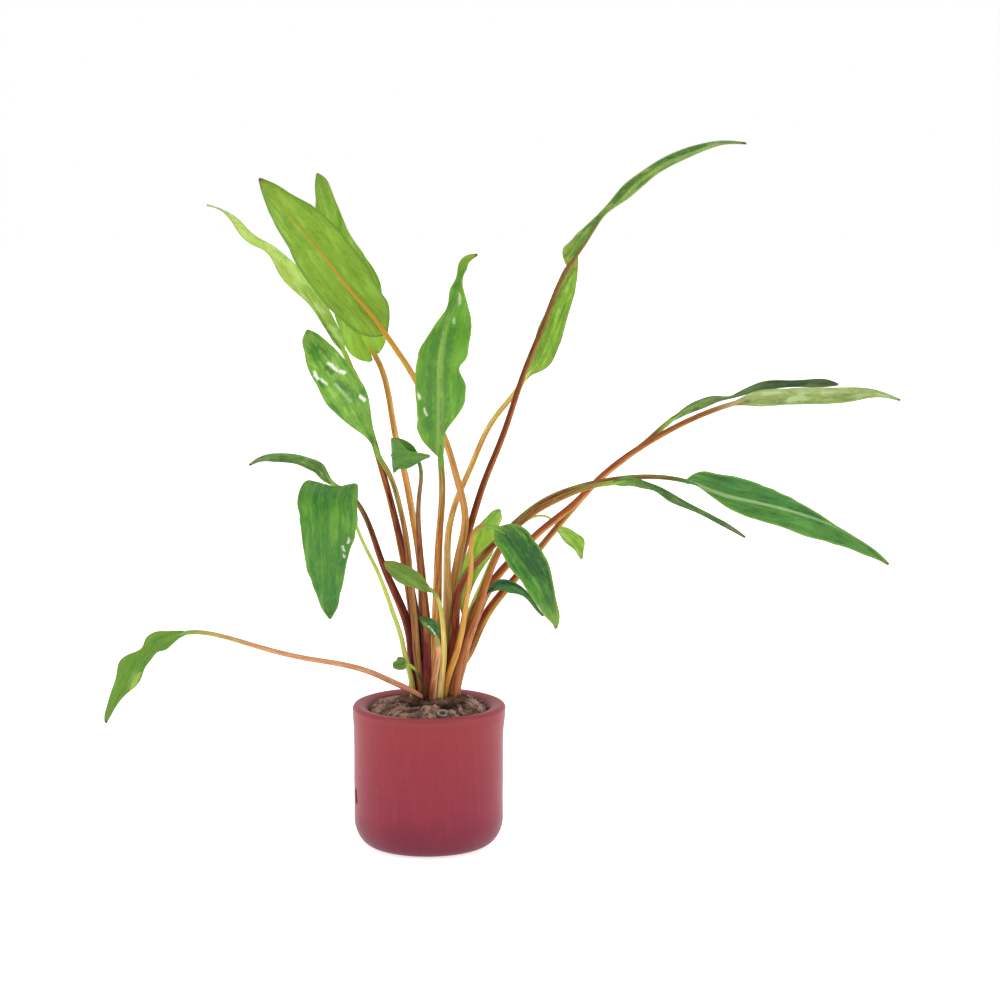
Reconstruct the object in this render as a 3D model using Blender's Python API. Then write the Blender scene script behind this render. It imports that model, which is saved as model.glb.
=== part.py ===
"""Potted cryptocoryne: a rosette of stalked leaves in a small rounded pot.

Sizes are in millimetres where a name says so and are turned to metres by mm().
The pot stands on z = 0 with its axis on Z, and the plant faces -Y.
"""
import math
from dataclasses import dataclass

import bpy
import bmesh
import numpy as np

# Pot
POT_HEIGHT_MM = 55.0
POT_LIP_RADIUS_MM = 29.1
POT_WALL_RADIUS_MM = 28.6
POT_BASE_RADIUS_MM = 20.8
POT_FOOT_CURVE_MM = 11.0
POT_LIP_HEIGHT_MM = 3.2
POT_INNER_RADIUS_MM = 24.7
POT_FLOOR_MM = 4.0
POT_INNER_CURVE_MM = 8.0
POT_SIDES = 32

# Growing plug and the crown that sits on it
GAP_MM = 0.3
PLUG_EDGE_HEIGHT_MM = 52.0
PLUG_SEAT_HEIGHT_MM = 55.5
PLUG_SEAT_RADIUS_MM = 16.5
CROWN_TOP_MM = 58.5
CROWN_CENTRE_MM = (2.3, -0.5)
CROWN_HALF_SIZES_MM = (13.9, 12.4)

# Leaves
BLADE_THICKNESS_MM = 0.6
BLADE_ROWS = 10
BLADE_HALF_COLUMNS = 2
STALK_SIDES = 7
STALK_RINGS = 10
ROOT_SIDES = 6
ROOT_RADIUS_MM = 0.7
ROUTE_SAMPLES = 400
# How far a smooth outline may leave the straight one between two stations
WIDTH_ABOVE = 1.25
WIDTH_ABOVE_MM = 0.2
WIDTH_BELOW = 0.75
# Lift of a folded blade's half grows with this power of the place across
FOLD_POWER = 1.3

STALK_HUES = {"tan": "#BC7B49", "maroon": "#7B3526", "olive": "#7F6A2B", "yellow": "#B9B552"}
BLADE_HUES = {"lime": "#8DBB40", "pale": "#A7C76C", "green": "#679F41", "dark": "#3F8443"}


@dataclass(frozen=True)
class Leaf:
    """One leaf. The route runs from its foot through stalk to the neck, then rib to the tip.

    halves holds, at fractions of the blade's length, its half widths on the left and the
    right as seen from the front. turn swings the blade about its rib at its base and tip,
    in degrees, fold lifts both halves towards the upper face, and wave is the height and
    the count of the margin's waves. A leaf with under set shows its underside in front.
    across is the direction of its right half where the leaf arches towards the front, and
    hues are the names of the stalk's and the blade's colours.
    """

    name: str
    foot: tuple
    radii: tuple
    stalk: tuple
    rib: tuple
    halves: tuple
    turn: tuple
    fold: float
    wave: tuple
    under: bool
    across: tuple
    hues: tuple


LEAVES = (
    Leaf(
        name="lime_broad",
        foot=(1.6, 3.4),
        radii=(1.7, 1.1),
        stalk=(
            (9, 5, 95.5), (12.5, 5.5, 115), (14.5, 6, 127), (11.5, 7, 142), (7.5, 9, 155.5),
            (1, 11, 169.5), (-7.5, 14, 185), (-16.5, 17, 198),
        ),
        rib=(
            (-20.5, 18.5, 203.5), (-27.5, 20, 211.5), (-34, 21, 219.5), (-40.5, 22, 228),
            (-47, 23.5, 236), (-53.5, 25, 243), (-60, 27, 250.5), (-66, 29, 258),
        ),
        halves=(
            (0, 1, 1), (0.04, 6, 5.5), (0.1, 8.5, 8), (0.18, 10, 9), (0.28, 11, 10.5),
            (0.4, 11.5, 11), (0.5, 11, 11), (0.6, 10, 10.5), (0.7, 8, 9.5), (0.8, 6.5, 7),
            (0.88, 4.5, 5.5), (0.95, 2.5, 4), (1, 0.5, 0.5),
        ),
        turn=(8, -8),
        fold=10,
        wave=(0.4, 2),
        under=True,
        across=None,
        hues=("tan", "lime"),
    ),
    Leaf(
        name="lime_behind",
        foot=(-2.4, 5.5),
        radii=(1.6, 1.1),
        stalk=(
            (-2, 8, 87), (-3, 12, 108), (-6.5, 17, 128.5), (-9.5, 21, 143.5), (-13, 25, 157),
            (-16, 29, 173.5), (-20, 33, 186), (-25, 36, 194.5),
        ),
        rib=(
            (-30.5, 39, 210), (-35, 43, 226), (-38.5, 46, 239.5), (-41.5, 49, 251.5),
            (-45, 52, 260),
        ),
        halves=(
            (0, 1, 1), (0.04, 8, 11), (0.1, 8.5, 12), (0.2, 8.5, 12.5), (0.35, 8.5, 12),
            (0.5, 8.5, 8.5), (0.6, 8, 6), (0.7, 7, 4.5), (0.8, 6, 3.5), (0.88, 4.5, 3),
            (0.95, 3, 2.5), (1, 0.5, 0.5),
        ),
        turn=(0, -14),
        fold=8,
        wave=(0.5, 2),
        under=True,
        across=None,
        hues=("tan", "lime"),
    ),
    Leaf(
        name="pale_narrow",
        foot=(-4.4, 1.6),
        radii=(1.7, 1.0),
        stalk=(
            (-4.5, 3, 80), (-7, 6, 99), (-11.5, 10, 120.5), (-15.5, 14, 136), (-20, 17, 151.5),
            (-26, 20, 172), (-30.5, 22, 185), (-33.5, 23.5, 191.5),
        ),
        rib=(
            (-40, 27, 200.5), (-45, 30, 208.5), (-50.5, 33, 216), (-55.5, 36, 222.5),
            (-60.5, 38, 228), (-65.5, 40, 232.5), (-71.5, 42, 237), (-76.5, 44, 242),
            (-82, 45, 245.5), (-88.5, 46, 247.5),
        ),
        halves=(
            (0, 1, 1), (0.04, 2, 4), (0.1, 1.5, 5.5), (0.18, 1.5, 6.5), (0.28, 2.5, 6.5),
            (0.4, 5, 5), (0.5, 5, 3.5), (0.6, 3, 2.5), (0.7, 4, 0.5), (0.8, 3.5, 0.5),
            (0.88, 2, 0.5), (0.95, 0.5, 0.5), (1, 0.5, 0.5),
        ),
        turn=(38, 38),
        fold=6,
        wave=(0.3, 3),
        under=False,
        across=None,
        hues=("maroon", "pale"),
    ),
    Leaf(
        name="speckled",
        foot=(-4.2, -2.9),
        radii=(1.6, 1.1),
        stalk=(
            (-4.5, -5, 81.5), (-6, -7, 101), (-7.5, -8, 118.5), (-10.5, -10, 135), (-15, -11, 148),
            (-18.5, -12, 154.5),
        ),
        rib=(
            (-19.5, -13, 158), (-22.5, -14.5, 164), (-26.5, -16.5, 171.5), (-31, -18, 179.5),
            (-36, -18.5, 187.5), (-40, -18, 194), (-44.5, -16, 201.5),
        ),
        halves=(
            (0, 1, 1), (0.04, 1, 0.5), (0.1, 1.5, 1), (0.18, 2.5, 2.5), (0.28, 5, 4.5),
            (0.4, 7.5, 7), (0.5, 8.5, 7.5), (0.6, 8, 7.5), (0.7, 7.5, 6.5), (0.8, 6.5, 5.5),
            (0.88, 5, 4), (0.95, 3.5, 2.5), (1, 0.5, 0.5),
        ),
        turn=(-12, 10),
        fold=8,
        wave=(0.5, 3),
        under=False,
        across=None,
        hues=("olive", "green"),
    ),
    Leaf(
        name="wavy_centre",
        foot=(3.4, -4.8),
        radii=(1.7, 1.2),
        stalk=(
            (3.5, -6, 81.5), (4, -8, 101.5), (5, -10, 125), (6, -11, 140.5), (5.5, -12, 153),
        ),
        rib=(
            (5.5, -14, 162.5), (5.5, -16, 171), (5.5, -18, 179.5), (5.5, -19, 188.5),
            (6.5, -19.5, 197), (8, -19, 204), (11.5, -18, 214), (13, -16, 221.5), (15, -13, 227),
            (19.5, -10, 229.5),
        ),
        halves=(
            (0, 1, 1), (0.06, 5.5, 1.5), (0.12, 8.5, 2), (0.18, 9, 5.5), (0.24, 9, 8.5),
            (0.3, 9.5, 9.5), (0.36, 9.5, 9), (0.42, 9.5, 7.5), (0.48, 9, 9.5), (0.55, 6.5, 9.5),
            (0.62, 4, 9.5), (0.7, 2.5, 7.5), (0.78, 3, 2.5), (0.85, 2, 0.4), (0.92, 1, 1),
            (1, 0.5, 0.5),
        ),
        turn=(0, 24),
        fold=9,
        wave=(0.9, 4),
        under=False,
        across=None,
        hues=("olive", "green"),
    ),
    Leaf(
        name="small_triangle",
        foot=(-0.5, -5.2),
        radii=(1.3, 0.9),
        stalk=(
            (0, -5, 81.5), (-1.5, -4, 100.5), (-3, -3, 120), (-2.5, -2, 137.5), (-3, -2, 149),
        ),
        rib=(
            (-7.5, -0.5, 151), (-11.5, -1.5, 152.5), (-13.5, -5, 153), (-12.5, -9, 153.5),
            (-8, -12, 153.5), (-3, -13, 153.5), (1.5, -13, 153.5),
        ),
        halves=(
            (0, 1, 1), (0.1, 2, 2), (0.3, 5, 5.5), (0.45, 6.5, 6.5), (0.55, 6.5, 6.5),
            (0.64, 5.5, 5.5), (0.74, 5, 2.5), (0.85, 3, 1.5), (0.93, 1.5, 1), (1, 0.5, 0.5),
        ),
        turn=(0, 0),
        fold=2,
        wave=(0, 0),
        under=False,
        across=(0, 0, 1),
        hues=("olive", "dark"),
    ),
    Leaf(
        name="arching_left",
        foot=(-8.2, 0.3),
        radii=(1.6, 0.9),
        stalk=(
            (-6.5, 0, 80.5), (-11.5, 2, 96), (-18, 4, 111), (-25, 6, 129.5), (-32, 8, 137.5),
            (-37, 9, 140.5),
        ),
        rib=(
            (-39.5, 8, 144), (-42, 7, 147), (-45.5, 6, 148.5), (-50, 5, 150), (-55, 3, 151),
            (-59.5, 1, 151.5), (-64, -2, 151), (-68, -4, 149),
        ),
        halves=(
            (0, 1, 1), (0.08, 2.5, 1), (0.2, 3.5, 2), (0.4, 2.5, 2.5), (0.6, 2, 2), (0.8, 2, 1.5),
            (0.93, 1, 1), (1, 0.5, 0.5),
        ),
        turn=(39, 39),
        fold=5,
        wave=(0.2, 2),
        under=False,
        across=None,
        hues=("maroon", "dark"),
    ),
    Leaf(
        name="hanging_dark",
        foot=(-8.3, -4.2),
        radii=(1.3, 0.8),
        stalk=(
            (-10, -7, 82.5), (-13, -9, 92.5), (-17.5, -12, 106), (-21.5, -15, 115.5),
            (-26, -18, 126.5), (-28.5, -21, 136.5), (-31.5, -25, 143),
        ),
        rib=(
            (-34.5, -30, 143.5), (-35.5, -32, 141.5), (-35.5, -34, 133), (-36, -34, 122.5),
            (-36, -32, 107), (-36, -28, 93.5),
        ),
        halves=(
            (0, 1, 1), (0.04, 6, 7.5), (0.08, 8.5, 10.5), (0.135, 10.5, 11), (0.3, 11, 10.5),
            (0.4, 10.5, 10), (0.5, 9.5, 8.5), (0.61, 8.5, 7), (0.73, 6.5, 5.5), (0.84, 4.5, 4),
            (0.92, 3, 3), (0.97, 1.5, 1.5), (1, 0.5, 0.5),
        ),
        turn=(0, 0),
        fold=4,
        wave=(0.3, 2),
        under=True,
        across=(1, 0, 0),
        hues=("yellow", "dark"),
    ),
    Leaf(
        name="tall_arching",
        foot=(5.6, 3.9),
        radii=(1.7, 0.9),
        stalk=(
            (8, 8, 79), (11.5, 11.5, 106), (16, 12, 122), (22, 13, 141), (28.5, 14, 157),
            (37.5, 15, 183.5), (45.5, 16, 203.5), (54.5, 17, 224),
        ),
        rib=(
            (58, 17.5, 229), (62.5, 18, 235.5), (68.5, 19, 244.5), (73.5, 19.5, 249.5),
            (79.5, 20, 255.5), (88.5, 21, 262.5), (98.5, 22, 267), (107.5, 23, 270),
            (114.5, 23.5, 271.5), (123.5, 24, 271.5),
        ),
        halves=(
            (0, 1, 1), (0.04, 6, 0.5), (0.08, 6, 0.5), (0.14, 5, 0.5), (0.2, 3.5, 0.5),
            (0.26, 2, 0.5), (0.33, 2, 1.5), (0.42, 3, 3.5), (0.52, 2, 3.5), (0.62, 2, 3),
            (0.72, 2.5, 2.5), (0.82, 2, 1.5), (0.92, 1, 0.5), (1, 0.5, 0.5),
        ),
        turn=(-32, -36),
        fold=5,
        wave=(0.2, 3),
        under=False,
        across=None,
        hues=("maroon", "green"),
    ),
    Leaf(
        name="lime_under",
        foot=(3.5, -0.5),
        radii=(1.5, 1.0),
        stalk=(
            (7, 0, 80.5), (7.5, 3, 109.5), (8, 7, 121.5), (11, 11, 133.5), (16.5, 15, 146),
            (24.5, 18, 163), (33.5, 20, 174.5), (38, 22, 180.5),
        ),
        rib=(
            (41, 24, 184.5), (45.5, 26, 193.5), (49.5, 28, 205), (53.5, 31, 215), (56.5, 33, 223),
            (58.5, 35, 227.5),
        ),
        halves=(
            (0, 1, 1), (0.05, 1.5, 2), (0.1, 3, 4.5), (0.16, 3.5, 6.5), (0.25, 4, 7),
            (0.4, 4.5, 7), (0.6, 3.5, 6.5), (0.8, 3.5, 4.5), (0.93, 2, 2), (1, 0.5, 0.5),
        ),
        turn=(-30, -34),
        fold=10,
        wave=(0.4, 2),
        under=False,
        across=None,
        hues=("yellow", "lime"),
    ),
    Leaf(
        name="long_pale_right",
        foot=(9.6, 4.9),
        radii=(1.7, 1.0),
        stalk=(
            (15, 4, 79.5), (19.5, 4, 91.5), (26.5, 3, 104.5), (34, 2, 113), (42.5, 0, 122),
            (56.5, -3, 134), (66.5, -6, 144.5), (84, -9, 158), (103, -12, 168.5),
            (116.5, -13, 173.5),
        ),
        rib=(
            (125, -14, 175.5), (134.5, -15, 176.5), (146.5, -16.5, 177), (158, -18, 177.5),
            (167.5, -20, 178), (173.5, -21, 177), (178, -22, 175.5),
        ),
        halves=(
            (0, 1, 1), (0.06, 2, 2), (0.14, 3.5, 3.5), (0.25, 3.5, 4), (0.4, 3.5, 4),
            (0.55, 3.5, 4), (0.7, 3, 3.5), (0.83, 2, 2), (0.93, 1, 1), (1, 0.5, 0.5),
        ),
        turn=(-38, -38),
        fold=4,
        wave=(0, 0),
        under=True,
        across=None,
        hues=("maroon", "pale"),
    ),
    Leaf(
        name="dark_above_right",
        foot=(7.2, 8.9),
        radii=(1.6, 1.0),
        stalk=(
            (16, 10, 74.5), (21.5, 12, 86.5), (34.5, 15, 103), (45.5, 16, 115.5), (57.5, 16, 129),
            (67.5, 15, 141), (85, 12.5, 157), (94.5, 11, 165.5),
        ),
        rib=(
            (100, 10.5, 168.5), (106, 10, 171.5), (112.5, 9.5, 173.5), (117, 9, 174),
            (122, 9, 175.5), (128.5, 8.5, 178), (137, 7, 179.5), (146.5, 6, 180),
            (153.5, 4.5, 180), (158, 3, 179.5),
        ),
        halves=(
            (0, 1, 1), (0.06, 1.5, 1.5), (0.13, 2.5, 2), (0.2, 2.5, 2.5), (0.28, 2, 2),
            (0.36, 1, 1), (0.42, 2, 1), (0.5, 2.5, 1.5), (0.6, 2.5, 2), (0.72, 1.5, 2),
            (0.84, 2, 2.5), (0.94, 2, 2), (1, 0.5, 0.5),
        ),
        turn=(38, 38),
        fold=4,
        wave=(0.2, 2),
        under=False,
        across=None,
        hues=("maroon", "dark"),
    ),
    Leaf(
        name="broad_drooping",
        foot=(7.5, -0.1),
        radii=(1.7, 1.1),
        stalk=(
            (10.5, -3, 89), (12.5, -6, 102.5), (18, -9, 111), (25.5, -13, 119.5), (34.5, -17, 129),
            (45, -21, 137.5), (60.5, -26, 144), (78.5, -31, 147.5), (97, -36, 146.5),
        ),
        rib=(
            (102, -37.5, 145), (112, -39, 141.5), (123, -40, 139), (132, -41, 137),
            (144, -41, 133.5), (153.5, -41, 129.5), (163, -40, 123.5), (172.5, -37, 115.5),
        ),
        halves=(
            (0, 1, 1), (0.04, 5.5, 0.5), (0.1, 8, 1.5), (0.18, 9.5, 3.5), (0.28, 9.5, 6),
            (0.4, 7.5, 7), (0.5, 5, 7.5), (0.6, 2.5, 7.5), (0.7, 0.5, 6.5), (0.8, 0.5, 5),
            (0.88, 1, 3.5), (0.95, 1, 1.5), (1, 0.5, 0.5),
        ),
        turn=(26, 20),
        fold=10,
        wave=(0.3, 2),
        under=False,
        across=None,
        hues=("maroon", "dark"),
    ),
    Leaf(
        name="narrow_drooping",
        foot=(11.8, -3.4),
        radii=(1.6, 0.9),
        stalk=(
            (13.5, -4, 77), (19, -8, 93.5), (22.5, -12, 104.5), (27, -18, 116.5), (32.5, -23, 126),
            (41, -28, 134), (54, -34, 141.5), (66.5, -40, 146), (70, -41, 146.5),
        ),
        rib=(
            (74, -42.5, 147.5), (80, -44.5, 147), (85.5, -47, 145.5), (91.5, -49, 142.5),
            (98.5, -51, 138.5), (105, -52.5, 134.5), (111, -53.5, 131.5), (117.5, -54, 128),
        ),
        halves=(
            (0, 1, 1), (0.05, 2, 2.5), (0.1, 2.5, 2.5), (0.2, 1.5, 2.5), (0.3, 1, 2), (0.42, 1, 3),
            (0.55, 1, 2), (0.7, 2, 0.5), (0.85, 2, 0.5), (1, 0.5, 0.5),
        ),
        turn=(36, 36),
        fold=4,
        wave=(0, 0),
        under=False,
        across=None,
        hues=("tan", "green"),
    ),
    Leaf(
        name="front_hanging",
        foot=(7.6, -4.4),
        radii=(1.6, 0.9),
        stalk=(
            (10.5, -6, 73.5), (13.5, -9, 86.5), (15.5, -13, 100), (17, -17, 112), (17, -21, 119.5),
            (19, -25, 127), (22.5, -29, 129), (26, -31, 128.5),
        ),
        rib=(
            (29, -33, 127), (32.5, -34.5, 123), (36.5, -35.5, 117), (41, -36, 110.5),
            (44.5, -36, 104), (47.5, -34.5, 96.5), (49, -32, 90.5),
        ),
        halves=(
            (0, 1, 1), (0.04, 1.5, 4), (0.1, 5, 5), (0.18, 7.5, 5), (0.28, 8, 5.5), (0.4, 8, 5.5),
            (0.5, 7, 5), (0.6, 5.5, 5), (0.7, 4, 4.5), (0.8, 3, 3.5), (0.88, 2.5, 2.5),
            (0.95, 1.5, 1), (1, 0.5, 0.5),
        ),
        turn=(10, -8),
        fold=9,
        wave=(0.5, 2),
        under=False,
        across=None,
        hues=("tan", "dark"),
    ),
    Leaf(
        name="lime_upright",
        foot=(10.6, 0.9),
        radii=(1.4, 1.0),
        stalk=(
            (12.5, 1.5, 76), (13.5, 2, 83), (14.5, 2, 89),
        ),
        rib=(
            (15.5, 1, 96), (17.5, 0, 104), (20, 0, 112.5), (23, 1, 120.5), (25.5, 4, 127),
            (28, 7, 130.5),
        ),
        halves=(
            (0, 1, 1), (0.08, 2.5, 0.4), (0.18, 3.5, 0.5), (0.3, 5, 1), (0.45, 5.5, 2.5),
            (0.6, 5.5, 4), (0.75, 5.5, 3.5), (0.88, 3, 3), (0.95, 2, 2.5), (1, 0.5, 0.5),
        ),
        turn=(0, 8),
        fold=8,
        wave=(0.4, 2),
        under=False,
        across=None,
        hues=("tan", "lime"),
    ),
    Leaf(
        name="small_lime",
        foot=(3.4, 7.8),
        radii=(1.1, 0.7),
        stalk=(
            (11.5, 13, 74), (16, 20, 88), (21.5, 25, 100.5), (28, 29, 113.5), (36, 32, 121.5),
            (45, 34, 125), (48, 35, 123.5), (50.5, 35, 120.5),
        ),
        rib=(
            (53, 35, 118.5), (56.5, 34.5, 115), (59, 34, 112), (60.5, 32, 107.5),
        ),
        halves=(
            (0, 1, 1), (0.08, 1, 1.5), (0.2, 2, 2), (0.35, 3, 2.5), (0.5, 3.5, 2.5), (0.65, 4, 2),
            (0.8, 2, 1.5), (0.92, 1, 1), (1, 0.5, 0.5),
        ),
        turn=(8, 0),
        fold=8,
        wave=(0, 0),
        under=False,
        across=None,
        hues=("yellow", "lime"),
    ),
    Leaf(
        name="low_dark",
        foot=(14.0, 1.2),
        radii=(1.1, 0.8),
        stalk=(
            (15, -1, 76.5), (15.5, -3, 87), (17, -4, 92), (19.5, -5.5, 97), (23, -7.5, 100.5),
        ),
        rib=(
            (26, -9, 102.5), (29.5, -11, 104), (34, -13, 103.5), (37.5, -14.5, 101.5),
            (40.5, -15.5, 98), (43, -16, 94.5), (44.5, -16, 92.5),
        ),
        halves=(
            (0, 1, 1), (0.06, 1, 1.5), (0.14, 2, 2), (0.25, 2.5, 3), (0.4, 1.5, 3), (0.55, 1, 2),
            (0.7, 0.5, 1), (0.85, 0.5, 1), (1, 0.5, 0.5),
        ),
        turn=(34, 34),
        fold=5,
        wave=(0, 0),
        under=False,
        across=None,
        hues=("olive", "dark"),
    ),
    Leaf(
        name="small_front",
        foot=(5.6, -8.6),
        radii=(1.3, 0.8),
        stalk=(
            (6.5, -11, 74.5), (6.5, -13, 84), (5.5, -15, 94.5), (4.5, -17, 99), (2.5, -19, 102.5),
        ),
        rib=(
            (0.5, -21, 104.5), (-2.5, -23, 107), (-6.5, -25, 109.5), (-11, -26, 112.5),
            (-15.5, -27, 115),
        ),
        halves=(
            (0, 1, 1), (0.07, 1.5, 0.5), (0.16, 2.5, 1), (0.28, 3, 2), (0.42, 3.5, 3),
            (0.56, 4, 3.5), (0.7, 4, 3), (0.83, 3, 2.5), (0.93, 2, 1.5), (1, 0.5, 0.5),
        ),
        turn=(-16, -8),
        fold=9,
        wave=(0, 0),
        under=False,
        across=None,
        hues=("yellow", "green"),
    ),
    Leaf(
        name="tiny_dark",
        foot=(1.9, -9.4),
        radii=(1.0, 0.7),
        stalk=(
            (3.5, -12, 71), (4.5, -15, 78.5), (4, -18, 84),
        ),
        rib=(
            (3.5, -20, 86.5), (1.5, -22, 90), (-0.5, -23, 92), (-2.5, -23, 93.5),
        ),
        halves=(
            (0, 1, 1), (0.1, 0.5, 1), (0.25, 1.5, 2), (0.4, 2, 2.5), (0.55, 2, 3), (0.7, 2, 2.5),
            (0.85, 1.5, 1.5), (1, 0.5, 0.5),
        ),
        turn=(0, 0),
        fold=10,
        wave=(0, 0),
        under=False,
        across=None,
        hues=("tan", "dark"),
    ),
    Leaf(
        name="tiny_round",
        foot=(-1.6, -9.4),
        radii=(0.9, 0.6),
        stalk=(
            (-2.5, -13, 65), (-3.5, -15.5, 69.5), (-5, -17.5, 72.5), (-7.5, -18.5, 74.5),
        ),
        rib=(
            (-8.5, -19, 74.5), (-10, -20, 75), (-11.5, -20.5, 75), (-12.5, -21, 75.5),
        ),
        halves=(
            (0, 1, 1), (0.1, 1, 1), (0.25, 2, 2), (0.42, 2.5, 2.5), (0.58, 2.5, 2.5), (0.75, 2, 2),
            (0.88, 1.5, 1.5), (0.96, 0.5, 1), (1, 0.5, 0.5),
        ),
        turn=(0, 0),
        fold=6,
        wave=(0, 0),
        under=False,
        across=None,
        hues=("olive", "dark"),
    ),
    Leaf(
        name="low_left",
        foot=(-3.6, -7.2),
        radii=(1.5, 0.8),
        stalk=(
            (-5.5, -12, 63), (-10.5, -15, 67), (-18, -18, 70.5), (-28.5, -21, 74),
            (-44.5, -24, 77.5), (-61, -27, 82), (-74.5, -29, 86.5), (-83, -30, 88.5),
            (-90.5, -31, 88.5),
        ),
        rib=(
            (-95, -31.5, 87), (-100, -32, 85), (-103.5, -32.5, 82), (-108.5, -33.5, 77),
            (-111.5, -34, 72), (-114.5, -34, 66.5), (-118, -33.5, 60.5), (-120.5, -32, 54.5),
        ),
        halves=(
            (0, 1, 1), (0.06, 1.5, 2), (0.13, 3, 3), (0.2, 4, 4.5), (0.27, 3, 4.5), (0.34, 3, 3),
            (0.42, 3.5, 4), (0.5, 5, 6), (0.6, 5, 5), (0.7, 2.5, 3.5), (0.8, 1.5, 2.5),
            (0.9, 1.5, 2), (0.96, 1, 1.5), (1, 0.5, 0.5),
        ),
        turn=(24, 20),
        fold=8,
        wave=(0.6, 3),
        under=False,
        across=None,
        hues=("tan", "green"),
    ),
)

# Roots that lie on the plug, each as points on a plan of the plug
ROOTS = {
    "root_left": ((-12.5, -4.0), (-15.5, -7.5), (-16.5, -12.0), (-19.0, -14.0)),
    "root_front": ((-3.0, -14.0), (-5.5, -16.5), (-9.0, -17.5), (-11.5, -20.0)),
    "root_right": ((17.0, -3.0), (19.0, -6.0), (18.5, -9.5), (20.0, -12.0)),
    "root_back": ((3.0, 13.5), (7.0, 16.0), (12.0, 16.5), (15.0, 18.5)),
}
LOOP_ROOT_CENTRE_MM = (6.0, -19.5)
LOOP_ROOT_RADIUS_MM = 2.3


def mm(value):
    """Millimetres to metres."""
    return value * 0.001


def clear_scene():
    """Remove every object of the open file."""
    for item in list(bpy.data.objects):
        bpy.data.objects.remove(item, do_unlink=True)


def linear(channel):
    """One sRGB channel from 0 to 1 as linear light."""
    return channel / 12.92 if channel <= 0.04045 else ((channel + 0.055) / 1.055) ** 2.4


def make_material(name, hex_colour, roughness):
    """A Principled material of one colour."""
    material = bpy.data.materials.new(name)
    material.use_nodes = True
    shader = material.node_tree.nodes["Principled BSDF"]
    channels = [int(hex_colour[i:i + 2], 16) / 255 for i in (1, 3, 5)]
    shader.inputs["Base Color"].default_value = (*(linear(c) for c in channels), 1.0)
    shader.inputs["Roughness"].default_value = roughness
    shader.inputs["Metallic"].default_value = 0.0
    return material


def add_object(name, points_mm, faces, material, sharp_degrees=40):
    """A smooth-shaded mesh object from points in millimetres and their faces."""
    mesh = bpy.data.meshes.new(name)
    mesh.from_pydata([tuple(mm(c) for c in p) for p in points_mm], [], faces)
    builder = bmesh.new()
    builder.from_mesh(mesh)
    bmesh.ops.recalc_face_normals(builder, faces=builder.faces)
    builder.to_mesh(mesh)
    builder.free()
    mesh.shade_smooth()
    mesh.set_sharp_from_angle(angle=math.radians(sharp_degrees))
    mesh.materials.append(material)
    item = bpy.data.objects.new(name, mesh)
    bpy.context.collection.objects.link(item)
    return item


def arc(centre, half_sizes, start, end, count):
    """Points (radius, height) on a quarter of an ellipse, angles in degrees."""
    angles = np.radians(np.linspace(start, end, count))
    return [(centre[0] + half_sizes[0] * math.cos(a), centre[1] + half_sizes[1] * math.sin(a))
            for a in angles]


def turned(profile, sides, stretch=(1.0, 1.0), centre=(0.0, 0.0)):
    """Points and faces of a solid turned from a profile that starts and ends on the axis."""
    points = [(centre[0], centre[1], profile[0][1])]
    for radius, height in profile[1:-1]:
        for side in range(sides):
            angle = 2 * math.pi * side / sides
            points.append((centre[0] + radius * stretch[0] * math.cos(angle),
                           centre[1] + radius * stretch[1] * math.sin(angle), height))
    points.append((centre[0], centre[1], profile[-1][1]))
    rings = len(profile) - 2
    last = len(points) - 1
    faces = []
    for side in range(sides):
        after = (side + 1) % sides
        faces.append((0, 1 + after, 1 + side))
        for ring in range(rings - 1):
            low = 1 + ring * sides
            high = low + sides
            faces.append((low + side, low + after, high + after, high + side))
        top = 1 + (rings - 1) * sides
        faces.append((top + side, top + after, last))
    return points, faces


def natural_spline(knots, values):
    """Second derivatives of a cubic through values at knots with free ends."""
    count = len(knots)
    matrix = np.zeros((count, count))
    right = np.zeros((count, values.shape[1]))
    matrix[0, 0] = 1.0
    matrix[-1, -1] = 1.0
    steps = np.diff(knots)
    for i in range(1, count - 1):
        matrix[i, i - 1] = steps[i - 1]
        matrix[i, i] = 2 * (steps[i - 1] + steps[i])
        matrix[i, i + 1] = steps[i]
        right[i] = 6 * ((values[i + 1] - values[i]) / steps[i]
                        - (values[i] - values[i - 1]) / steps[i - 1])
    return np.linalg.solve(matrix, right)


def spline_at(knots, values, places):
    """Points of the smooth curve through values, at the given places along the knots."""
    bends = natural_spline(knots, values)
    index = np.clip(np.searchsorted(knots, places, side="right") - 1, 0, len(knots) - 2)
    step = (knots[index + 1] - knots[index])[:, None]
    ahead = (knots[index + 1][:, None] - places[:, None]) / step
    behind = 1 - ahead
    return (ahead * values[index] + behind * values[index + 1]
            + ((ahead ** 3 - ahead) * bends[index]
               + (behind ** 3 - behind) * bends[index + 1]) * step ** 2 / 6)


def lengths_along(points):
    """Running length along a line of points."""
    return np.concatenate([[0.0], np.cumsum(np.linalg.norm(np.diff(points, axis=0), axis=1))])


def evenly(points, count):
    """The line of points again, as count points at even steps."""
    run = lengths_along(points)
    places = np.linspace(0.0, run[-1], count)
    return np.stack([np.interp(places, run, points[:, axis]) for axis in range(3)], axis=1)


def smooth_route(points, neck_index=None):
    """A fine smooth line through the route points, and the part of it up to neck_index."""
    values = np.array(points, dtype=float)
    knots = lengths_along(values)
    fine = np.unique(np.concatenate([np.linspace(0, knots[-1], ROUTE_SAMPLES), knots]))
    line = spline_at(knots, values, fine)
    if neck_index is None:
        return line
    cut = int(np.searchsorted(fine, knots[neck_index]))
    return line[:cut + 1], line[cut:]


def unit(vectors):
    """Vectors scaled to length 1."""
    return vectors / np.linalg.norm(vectors, axis=-1, keepdims=True)


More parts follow.
